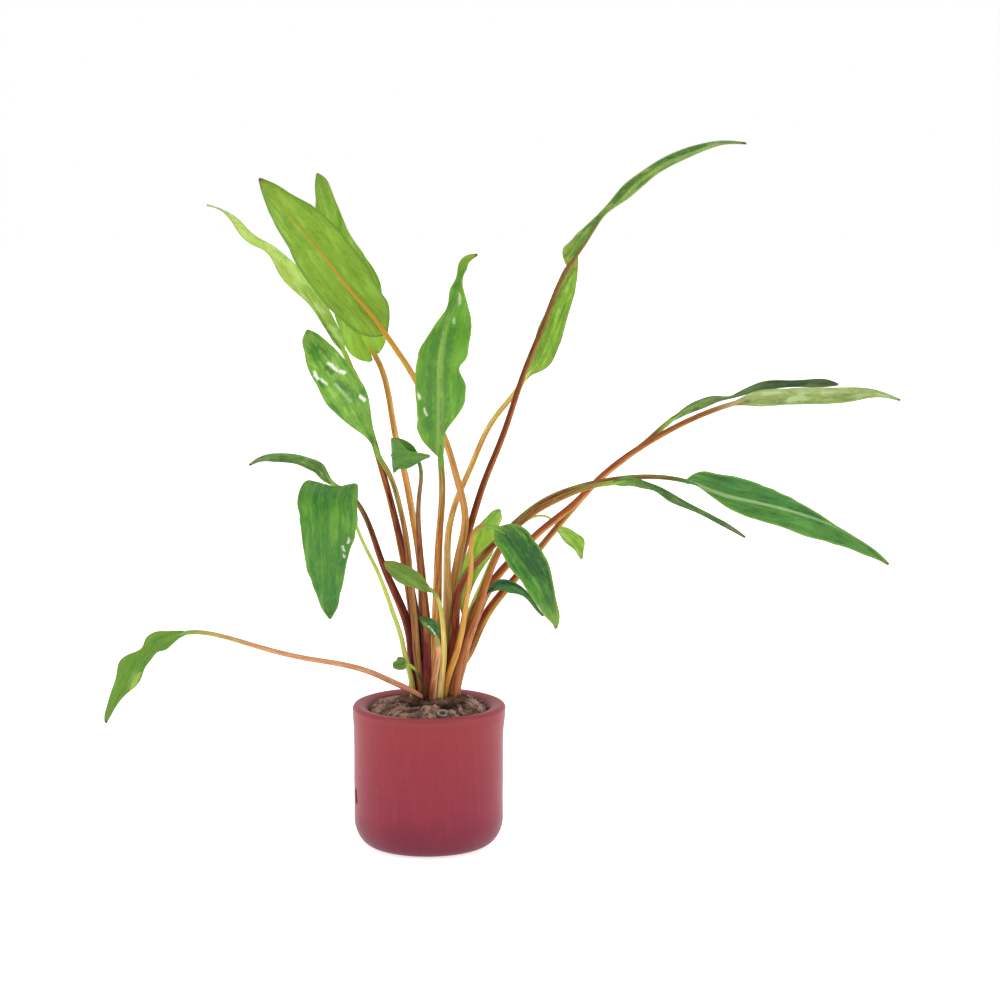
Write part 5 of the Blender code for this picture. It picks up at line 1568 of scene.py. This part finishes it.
@dataclass
class Pot:
    """The thin-walled glazed pot with its soft lip and rounded foot.

    wall_mm and rim_mm are the outer radii, roll_mm how far the lip curls over and down, rise_mm
    how much higher the rim stands than the solid's, and bulge_mm how far it bulges right.
    """

    finish: PotGlaze
    sides: int = 160
    wall_mm: float = 28.9
    rim_mm: float = 29.3
    roll_mm: tuple[float, float] = (1.8, 1.6)
    rise_mm: float = 0.65
    bulge_mm: float = 0.9

    def surface(self) -> Surface:
        """The pot's turned shape, its wall a little uneven as glaze leaves it.

        Returns:
            The pot, whose rim is softly rolled, a little higher at the back and a little out
            of round on the right.
        """
        roll = self.roll_mm
        brow_mm = POT_HEIGHT_MM - roll[1]
        foot = (self.wall_mm - POT_BASE_RADIUS_MM, POT_FOOT_CURVE_MM)
        profile = [(0.0, 0.0), (POT_BASE_RADIUS_MM - 1.5, 0.0)]
        profile += arc((POT_BASE_RADIUS_MM, foot[1]), foot, -90, 0, 26)
        profile += [(self.wall_mm + (self.rim_mm - self.wall_mm) * float(eased(z, 44.0, 53.0)), z)
                    for z in np.linspace(foot[1] + 1.5, brow_mm - 0.4, 30)]
        profile += arc((self.rim_mm - roll[0], brow_mm), roll, 0, 90, 12)
        profile += [(radius, POT_HEIGHT_MM - down) for radius, down in (
            (26.6, 0.1), (25.6, 0.4), (24.6, 0.9), (23.7, 1.6), (23.0, 2.5), (22.7, 3.6),
            (22.9, 4.8), (23.8, 6.4))]
        curve = POT_INNER_CURVE_MM
        inner_centre = (POT_INNER_RADIUS_MM - curve, POT_FLOOR_MM + curve)
        profile += [(POT_INNER_RADIUS_MM, z) for z in np.linspace(47.0, 20.0, 12)]
        profile += arc(inner_centre, (curve, curve), 0, -90, 8)
        profile.append((0.0, POT_FLOOR_MM))
        shape = turned(profile, self.sides)
        flat = np.hypot(shape.points[:, 0], shape.points[:, 1])
        uneven = soft_noise(shape.points, 18.0, 5) * 0.12 + soft_noise(shape.points, 5.0, 6) * 0.03
        outside = eased(flat, POT_INNER_RADIUS_MM + 1.0, self.wall_mm - 0.5)
        share = 1 - np.abs(uneven) * outside / np.maximum(flat, 1.0)
        shape.points[:, :2] *= share[:, None]
        high = np.maximum(0.0, (shape.points[:, 2] - 40.0) / 15.0)
        shape.points[:, 2] += self.rise_mm * high * (1 + shape.points[:, 1] / self.rim_mm)
        right = np.maximum(0.0, shape.points[:, 0] / self.rim_mm) ** 3
        tall = eased(shape.points[:, 2], 40.0, 54.0)
        shape.points[:, 0] += self.bulge_mm * right * (0.4 + 0.6 * tall)
        return shape

    def build(self) -> list[bpy.types.Object]:
        """Make the pot piece."""
        pot = make_mesh("glazed_pot", self.surface(), self.finish.material())
        register(pot, "pot")
        return [pot]


@dataclass
class Plug:
    """The plug of mineral wool and peat, lumpy and fibrous, with hollows by the stalks."""

    finish: Fleece
    pale_fibre: Strand
    dark_fibre: Strand
    rings: int = 96
    sides: int = 264

    def top(self) -> tuple[np.ndarray, np.ndarray, np.ndarray]:
        """The plug's top on rings and sides.

        Returns:
            Its points, ring by ring from the middle out, how much painted shade darkens each
            one in its hollows, and how bare of peat each one is.
        """
        outer = POT_INNER_RADIUS_MM - GAP_MM - 0.1
        radii = np.linspace(outer / self.rings, outer, self.rings)
        angles = 2 * math.pi * np.arange(self.sides) / self.sides
        reach, angle = np.meshgrid(radii, angles, indexing="ij")
        plan = np.stack([reach * np.cos(angle), reach * np.sin(angle), 0 * reach], -1)
        flat = plan.reshape(-1, 3)
        centre = np.array(CROWN_CENTRE_MM)
        fan = np.arctan2(flat[:, 1] - centre[1], flat[:, 0] - centre[0]) * 9.0
        out = np.hypot(*(flat[:, :2] - centre).T)
        spokes = soft_noise(np.column_stack([fan, out * 0.25, 0 * fan]), 1.5, 17)
        threads = soft_noise(np.column_stack([fan, out * 0.12, 0 * fan]), 0.5, 18)
        lumps = soft_noise(flat, 5.0, 11) * 0.8 + soft_noise(flat, 2.6, 12) * 0.4 + spokes * 0.7
        lumps += threads * 0.3
        fine = soft_noise(flat, 1.1, 13) * 0.22 + soft_noise(flat, 0.5, 14) * 0.08
        sizes = np.array(CROWN_HALF_SIZES_MM)
        from_crown = np.hypot(*((flat[:, :2] - centre) / sizes).T)
        mound = eased(from_crown, 1.32, 1.02) * eased(from_crown, 0.8, 1.0)
        edge = eased(reach.ravel(), outer, outer - 2.0)
        cavity = eased(soft_noise(flat, 3.6, 15), 0.15, 0.6) * eased(from_crown, 1.5, 1.15)
        height = plug_height(reach.ravel()) + (lumps + fine) * (0.3 + 0.7 * edge)
        height += mound * 1.2 - cavity * 1.8 + 0.3
        height = np.where(from_crown < 0.97, np.minimum(height, PLUG_SEAT_HEIGHT_MM), height)
        height -= 5.0 * eased(reach.ravel(), 22.0, 23.6)
        points = np.column_stack([flat[:, :2], height])
        # painted shade: darker where the top dips low and in its cavities
        low = eased(lumps + threads + fine, 0.0, -1.1) * 0.8
        bare = eased(lumps + threads, 0.0, 1.2) * (0.5 + 0.5 * eased(flat[:, 0], -4.0, 12.0))
        return points, np.clip(low + cavity, 0.0, 1.0), bare * (1 - cavity)

    def surface(self) -> Surface:
        """The whole plug: its lumpy top, and the sides and floor under it."""
        top, hollow_shade, bare = self.top()
        below = []
        outer = POT_INNER_RADIUS_MM - GAP_MM - 0.1
        curve = POT_INNER_CURVE_MM
        floor = POT_FLOOR_MM + GAP_MM
        profile = [(outer, 46.0), (outer, 30.0)]
        profile += arc((outer - curve, floor + curve), (curve, curve), 0, -90, 6)
        angles = 2 * math.pi * np.arange(self.sides) / self.sides
        for radius, height in profile:
            below.append(np.column_stack([radius * np.cos(angles), radius * np.sin(angles),
                                          np.full(self.sides, height)]))
        middle_top = np.array([[0.0, 0.0, top[:self.sides, 2].mean()]])
        points = np.concatenate([middle_top, top, *below, [[0.0, 0.0, floor]]])
        rings = self.rings + len(profile)
        faces = []
        for side in range(self.sides):
            after = (side + 1) % self.sides
            faces.append((0, 1 + side, 1 + after))
            for ring in range(rings - 1):
                here = 1 + ring * self.sides
                there = here + self.sides
                faces.append((here + side, there + side, there + after, here + after))
            last = 1 + (rings - 1) * self.sides
            faces.append((last + side, len(points) - 1, last + after))
        values = {}
        for key, part in (("hollow_shade", hollow_shade), ("bare", bare)):
            values[key] = np.pad(part, (1, len(points) - 1 - len(part)))
        return Surface(points, faces, values)

    def build(self) -> list[bpy.types.Object]:
        """Make the plug piece and its fibres of wool and peat."""
        surface = self.surface()
        plug = make_mesh("wool_and_peat_plug", surface, self.finish.material())
        register(plug, "growing_plug")
        pieces = [plug]
        for scatter in (
            Scatter("wool_fibres", self.pale_fibre, 12.0, 3.0, 0.07, 3, 0.9),
            Scatter("peat_fibres", self.dark_fibre, 9.0, 2.2, 0.08, 8, 1.0),
        ):
            pieces.append(scatter.build(plug, "growing_plug", "plug_wool"))
        return pieces


@dataclass
class Crown:
    """The lumpy rhizome that the stalks grow from, half buried in peat."""

    finish: Fleece
    fibre: Strand
    rings: int = 60
    sides: int = 150

    def surface(self) -> Surface:
        """The crown as a lumpy cushion inside the solid's outline."""
        bottom = PLUG_SEAT_HEIGHT_MM + GAP_MM
        rise = CROWN_TOP_MM - bottom
        steps = np.linspace(0.0, 1.0, self.rings)
        angles = 2 * math.pi * np.arange(self.sides) / self.sides
        step, angle = np.meshgrid(steps[1:], angles, indexing="ij")
        spread = np.minimum(1.0, 1.35 * step)
        drop = eased(step, 0.62, 1.0)
        x = CROWN_CENTRE_MM[0] + CROWN_HALF_SIZES_MM[0] * spread * np.cos(angle)
        y = CROWN_CENTRE_MM[1] + CROWN_HALF_SIZES_MM[1] * spread * np.sin(angle)
        flat = np.stack([x, y, drop * 4.0], axis=-1).reshape(-1, 3)
        lumps = soft_noise(flat, 3.4, 21) * 0.7 + soft_noise(flat, 1.5, 22) * 0.4
        lumps = lumps + soft_noise(flat, 0.6, 23) * 0.15
        drop = drop.ravel()
        height = bottom + rise * (1 - drop) + lumps * (1 - drop) - 0.1
        inward = 1 - 0.06 * drop - 0.03 * np.abs(lumps) * (spread.ravel() > 0.9)
        centre = np.array(CROWN_CENTRE_MM)
        plan = centre + (flat[:, :2] - centre) * inward[:, None]
        top = np.column_stack([plan, np.maximum(height, bottom - 0.2)])
        middle = [[*CROWN_CENTRE_MM, CROWN_TOP_MM]]
        base = [[*CROWN_CENTRE_MM, bottom - 0.2]]
        points = np.concatenate([middle, top, base])
        faces = []
        count = self.rings - 1
        for side in range(self.sides):
            after = (side + 1) % self.sides
            faces.append((0, 1 + side, 1 + after))
            for ring in range(count - 1):
                here = 1 + ring * self.sides
                there = here + self.sides
                faces.append((here + side, there + side, there + after, here + after))
            last = 1 + (count - 1) * self.sides
            faces.append((last + side, len(points) - 1, last + after))
        # painted shade: darker in the low lumps and towards the crown's foot, darkest at its base
        hollow_shade = np.concatenate([[0.5], np.clip(0.35 - 0.8 * lumps + 0.3 * drop, 0, 1), [1.0]])
        return Surface(points, faces, {"hollow_shade": hollow_shade})

    def build(self) -> list[bpy.types.Object]:
        """Make the crown piece and the fibres that lie on it."""
        crown = make_mesh("rhizome_crown", self.surface(), self.finish.material())
        register(crown, "crown")
        litter = Scatter("crown_fibres", self.fibre, 60.0, 2.8, 0.06, 5, 1.4)
        return [crown, litter.build(crown, "crown", "rhizome")]


@dataclass
class SurfaceRoot:
    """A thin root that lies on the plug."""

    node: str
    plan: list[tuple[float, float]]
    taper: float
    finish: bpy.types.Material

    def build(self) -> list[bpy.types.Object]:
        """Make the root piece, a little crooked and knotted."""
        raised = [(x, y, float(plug_height(np.array(math.hypot(x, y)))) + ROOT_RADIUS_MM + 0.6)
                  for x, y in self.plan]
        line = evenly(smooth_route(raised), 60)
        line = line + np.column_stack([soft_noise(line, 3.0, 31 + axis) * 0.25 for axis in range(3)])
        places = np.linspace(0.0, 1.0, len(line))
        knots = 1 + 0.18 * soft_noise(line, 1.6, 37)
        radii = ROOT_RADIUS_MM * (1 - (1 - self.taper) * places) * knots * 0.85
        shape = tube(line, radii, 12)
        shape.values = {"hollow_shade": np.zeros(len(shape.points))}
        root = make_mesh("surface_" + self.node, shape, self.finish)
        register(root, self.node)
        return [root]


@dataclass
class Scatter:
    """Short curled fibres spread by Geometry Nodes over the upward faces of a piece.

    per_cm2 is how many there are, length_mm and radius_mm size each one, and curl_mm is how
    far it strays from a straight line.
    """

    name: str
    strand: Strand
    per_cm2: float
    length_mm: float
    radius_mm: float
    seed: int
    curl_mm: float

    def tree(self) -> bpy.types.NodeTree:
        """The node group, with an input for each of the values that change."""
        tree = bpy.data.node_groups.new(self.name, "GeometryNodeTree")
        sockets = tree.interface
        sockets.new_socket("Geometry", in_out="INPUT", socket_type="NodeSocketGeometry")
        for label in ("Density", "Length", "Radius", "Curl"):
            sockets.new_socket(label, in_out="INPUT", socket_type="NodeSocketFloat")
        sockets.new_socket("Seed", in_out="INPUT", socket_type="NodeSocketInt")
        sockets.new_socket("Material", in_out="INPUT", socket_type="NodeSocketMaterial")
        sockets.new_socket("Geometry", in_out="OUTPUT", socket_type="NodeSocketGeometry")
        given = tree.nodes.new("NodeGroupInput").outputs
        normal = add_node(tree, "GeometryNodeInputNormal")
        upright = tree.nodes.new("ShaderNodeSeparateXYZ")
        tree.links.new(normal, upright.inputs[0])
        facing_up = add_node(tree, "FunctionNodeCompare", {"operation": "GREATER_THAN"},
                             {"A": upright.outputs[2], "B": 0.15}, "Result")
        spread = add_node(tree, "GeometryNodeDistributePointsOnFaces", None, {
            "Mesh": given["Geometry"], "Density": given["Density"], "Seed": given["Seed"],
            "Selection": facing_up}, "Points")
        straight = add_node(tree, "GeometryNodeCurvePrimitiveLine", None,
                            {"Start": (-0.5, 0.0, 0.0), "End": (0.5, 0.0, 0.0)})
        points = add_node(tree, "GeometryNodeResampleCurve", None, {"Curve": straight, "Count": 12})
        lean = add_node(tree, "FunctionNodeRandomValue", {"data_type": "FLOAT_VECTOR"}, {
            "Min": (-0.5, -0.55, 0.0), "Max": (0.5, 0.3, 2 * math.pi), "Seed": given["Seed"]},
            "Value")
        size = add_node(tree, "FunctionNodeRandomValue", {"data_type": "FLOAT"}, {
            "Min_001": 0.35, "Max_001": 1.5, "Seed": given["Seed"]}, "Value_001")
        scale = add_node(tree, "ShaderNodeMath", {"operation": "MULTIPLY"},
                         {"Value": size, "Value_001": given["Length"]})
        placed = add_node(tree, "GeometryNodeInstanceOnPoints", None, {
            "Points": spread, "Instance": points, "Rotation": lean, "Scale": scale})
        real = add_node(tree, "GeometryNodeRealizeInstances", None, {"Geometry": placed})
        pull = add_node(tree, "ShaderNodeTexNoise", None, {"Scale": 420.0, "Detail": 1.0}, "Color")
        centred = add_node(tree, "ShaderNodeVectorMath", {"operation": "SUBTRACT"},
                           {"Vector": pull, "Vector_001": (0.5, 0.5, 0.42)})
        offset = add_node(tree, "ShaderNodeVectorMath", {"operation": "SCALE"},
                          {"Vector": centred, "Scale": given["Curl"]})
        curled = add_node(tree, "GeometryNodeSetPosition", None,
                          {"Geometry": real, "Offset": offset})
        ring = add_node(tree, "GeometryNodeCurvePrimitiveCircle", None,
                        {"Resolution": 5, "Radius": given["Radius"]}, "Curve")
        solid = add_node(tree, "GeometryNodeCurveToMesh", None,
                         {"Curve": curled, "Profile Curve": ring, "Fill Caps": True})
        joined = add_node(tree, "GeometryNodeRealizeInstances", None, {"Geometry": solid})
        painted = add_node(tree, "GeometryNodeSetMaterial", None,
                           {"Geometry": joined, "Material": given["Material"]})
        add_node(tree, "NodeGroupOutput", None, {})
        end = next(n for n in tree.nodes if n.bl_idname == "NodeGroupOutput")
        tree.links.new(painted, end.inputs[0])
        return tree

    def build(self, ground: bpy.types.Object, node: str, slot: str) -> bpy.types.Object:
        """Spread the fibres and make them a plain mesh.

        Args:
            ground: The piece that they lie on.
            node: The CAD node that they belong to.
            slot: A material slot; not used.

        Returns:
            The fibres' piece.
        """
        tree = self.tree()
        material = self.strand.material()
        source = bpy.data.objects.new(self.name + "_source", ground.data)
        bpy.context.collection.objects.link(source)
        modifier = source.modifiers.new(self.name, "NODES")
        modifier.node_group = tree
        values = {"Density": self.per_cm2 * 1e4, "Length": self.length_mm * 0.001,
                  "Radius": self.radius_mm * 0.001, "Curl": self.curl_mm * 0.002,
                  "Seed": self.seed, "Material": material}
        for item in tree.interface.items_tree:
            if item.name in values and item.in_out == "INPUT":
                modifier[item.identifier] = values[item.name]
        bpy.context.view_layer.update()
        graph = bpy.context.evaluated_depsgraph_get()
        mesh = bpy.data.meshes.new_from_object(source.evaluated_get(graph))
        bpy.data.objects.remove(source, do_unlink=True)
        mesh.name = self.name
        mesh.shade_smooth()
        piece = bpy.data.objects.new(self.name, mesh)
        bpy.context.collection.objects.link(piece)
        register(piece, node)
        return piece


@dataclass
class Studio:
    """A pale floor under a white light tent, and the camera of the photograph."""

    camera_at: tuple[float, float, float] = (0.028, -0.99255, 0.25698)
    camera_tilt: float = 83.0
    lens_mm: float = 93.49
    front_sky: float = 0.25
    floor_glow: float = 0.15
    near_glow: float = 0.7

    def floor(self) -> None:
        """Lay the floor."""
        bpy.ops.mesh.primitive_plane_add(size=12.0, location=(0.0, 3.0, -0.0003))
        floor = bpy.context.object
        floor.name = "studio_floor"
        shade = Shading("backlit_paper")
        space = shade.add("ShaderNodeTexCoord", out="Object")
        away = shade.add("ShaderNodeVectorMath", {"operation": "DISTANCE"}, {
            "Vector": space, "Vector_001": (0.0, -3.0, 0.0)}, "Value")
        glow = shade.sum("ADD", shade.sum("MULTIPLY", shade.step(away, 0.12, 0.9),
                                          self.floor_glow), self.near_glow)
        floor.data.materials.append(shade.finish(shade.add("ShaderNodeBsdfPrincipled", None, {
            "Base Color": (0.95, 0.95, 0.95, 1.0), "Roughness": 0.9, "Specular IOR Level": 0.1,
            "Emission Color": (1.0, 1.0, 1.0, 1.0), "Emission Strength": glow})))

    def lamp(self, name: str, place: tuple[float, float, float], size: float,
             power: float) -> None:
        """Hang a soft square lamp that faces the middle of the plant."""
        data = bpy.data.lights.new(name, "AREA")
        data.size = size
        data.energy = power
        lamp = bpy.data.objects.new(name, data)
        bpy.context.collection.objects.link(lamp)
        lamp.location = place
        aim = np.array((0.03, 0.0, 0.12)) - np.array(place)
        flat = math.hypot(aim[0], aim[1])
        lamp.rotation_euler = (math.atan2(flat, -aim[2]), 0.0, math.atan2(-aim[0], aim[1]))

    def build(self) -> None:
        """Set the floor, the light and the camera."""
        scene = bpy.context.scene
        self.floor()
        world = bpy.data.worlds.new("light_tent")
        world.use_nodes = True
        tree = world.node_tree
        ground = next(n for n in tree.nodes if n.bl_idname == "ShaderNodeBackground")
        ground.inputs["Color"].default_value = (1.0, 1.0, 1.0, 1.0)
        parts = tree.nodes.new("ShaderNodeSeparateXYZ")
        tree.links.new(add_node(tree, "ShaderNodeTexCoord", out="Generated"), parts.inputs[0])
        tree.links.new(add_node(tree, "ShaderNodeMapRange", {"interpolation_type": "SMOOTHSTEP"}, {
            "Value": parts.outputs[1], "From Min": -0.5, "From Max": 0.4,
            "To Min": self.front_sky, "To Max": 1.0}), ground.inputs["Strength"])
        scene.world = world
        self.lamp("tent_top", (0.0, -0.25, 1.3), 0.9, 5.0)
        self.lamp("tent_left", (-0.9, -0.6, 0.7), 0.7, 4.0)
        self.lamp("tent_right", (0.9, -0.6, 0.7), 0.7, 4.0)
        scene.view_settings.view_transform = "Standard"
        data = bpy.data.cameras.new("photo_camera")
        data.lens = self.lens_mm
        data.sensor_width = 36.0
        camera = bpy.data.objects.new("photo_camera", data)
        bpy.context.collection.objects.link(camera)
        camera.location = self.camera_at
        camera.rotation_euler = (math.radians(self.camera_tilt), 0.0, 0.0)
        scene.camera = camera


def loop_plan() -> list[tuple[float, float]]:
    """The plan of the root that curls to a small ring."""
    plan = []
    for degrees in range(0, 331, 30):
        angle = math.radians(degrees)
        plan.append((LOOP_ROOT_CENTRE_MM[0] + LOOP_ROOT_RADIUS_MM * math.cos(angle),
                     LOOP_ROOT_CENTRE_MM[1] + LOOP_ROOT_RADIUS_MM * math.sin(angle)))
    return plan


def main() -> None:
    """Dress the frame piece by piece and set up the studio."""
    logging.basicConfig(level=logging.INFO, format="%(message)s", stream=sys.stdout)
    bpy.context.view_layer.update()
    pale = Strand("wool_fibre", "#8F7368", "#B9A294")
    dark = Strand("peat_fibre", "#3E2B23", "#6D4C41")
    Pot(PotGlaze()).build()
    Plug(Fleece("mineral_wool_and_peat", "#3A231B", "#8E6A58", "#BB9C8D", 4.0,
                hollow_shade=0.78), pale, dark).build()
    Crown(Fleece("rhizome_and_peat", "#35241D", "#6D4C3B", "#8F6B52"),
          Strand("crown_fibre", "#4A3228", "#94694F")).build()
    bark = Fleece("root_bark", "#5A4034", "#86695A", "#A48C7C", 2.0, 0.4, 0.5, 0.75).material()
    for node, plan in ROOTS.items():
        SurfaceRoot(node, list(plan), 0.6, bark).build()
    dry = Fleece("dry_root_bark", "#6B5A54", "#9A8A84", "#C8BEBA", 2.0, 0.4, 0.5, 0.75).material()
    SurfaceRoot("root_loop", loop_plan(), 0.9, dry).build()
    for number, plan in enumerate(LEAVES):
        Leaf(plan, LOOKS[plan.name], number + 1).build()
    Studio().build()


if __name__ == "__main__":
    main()
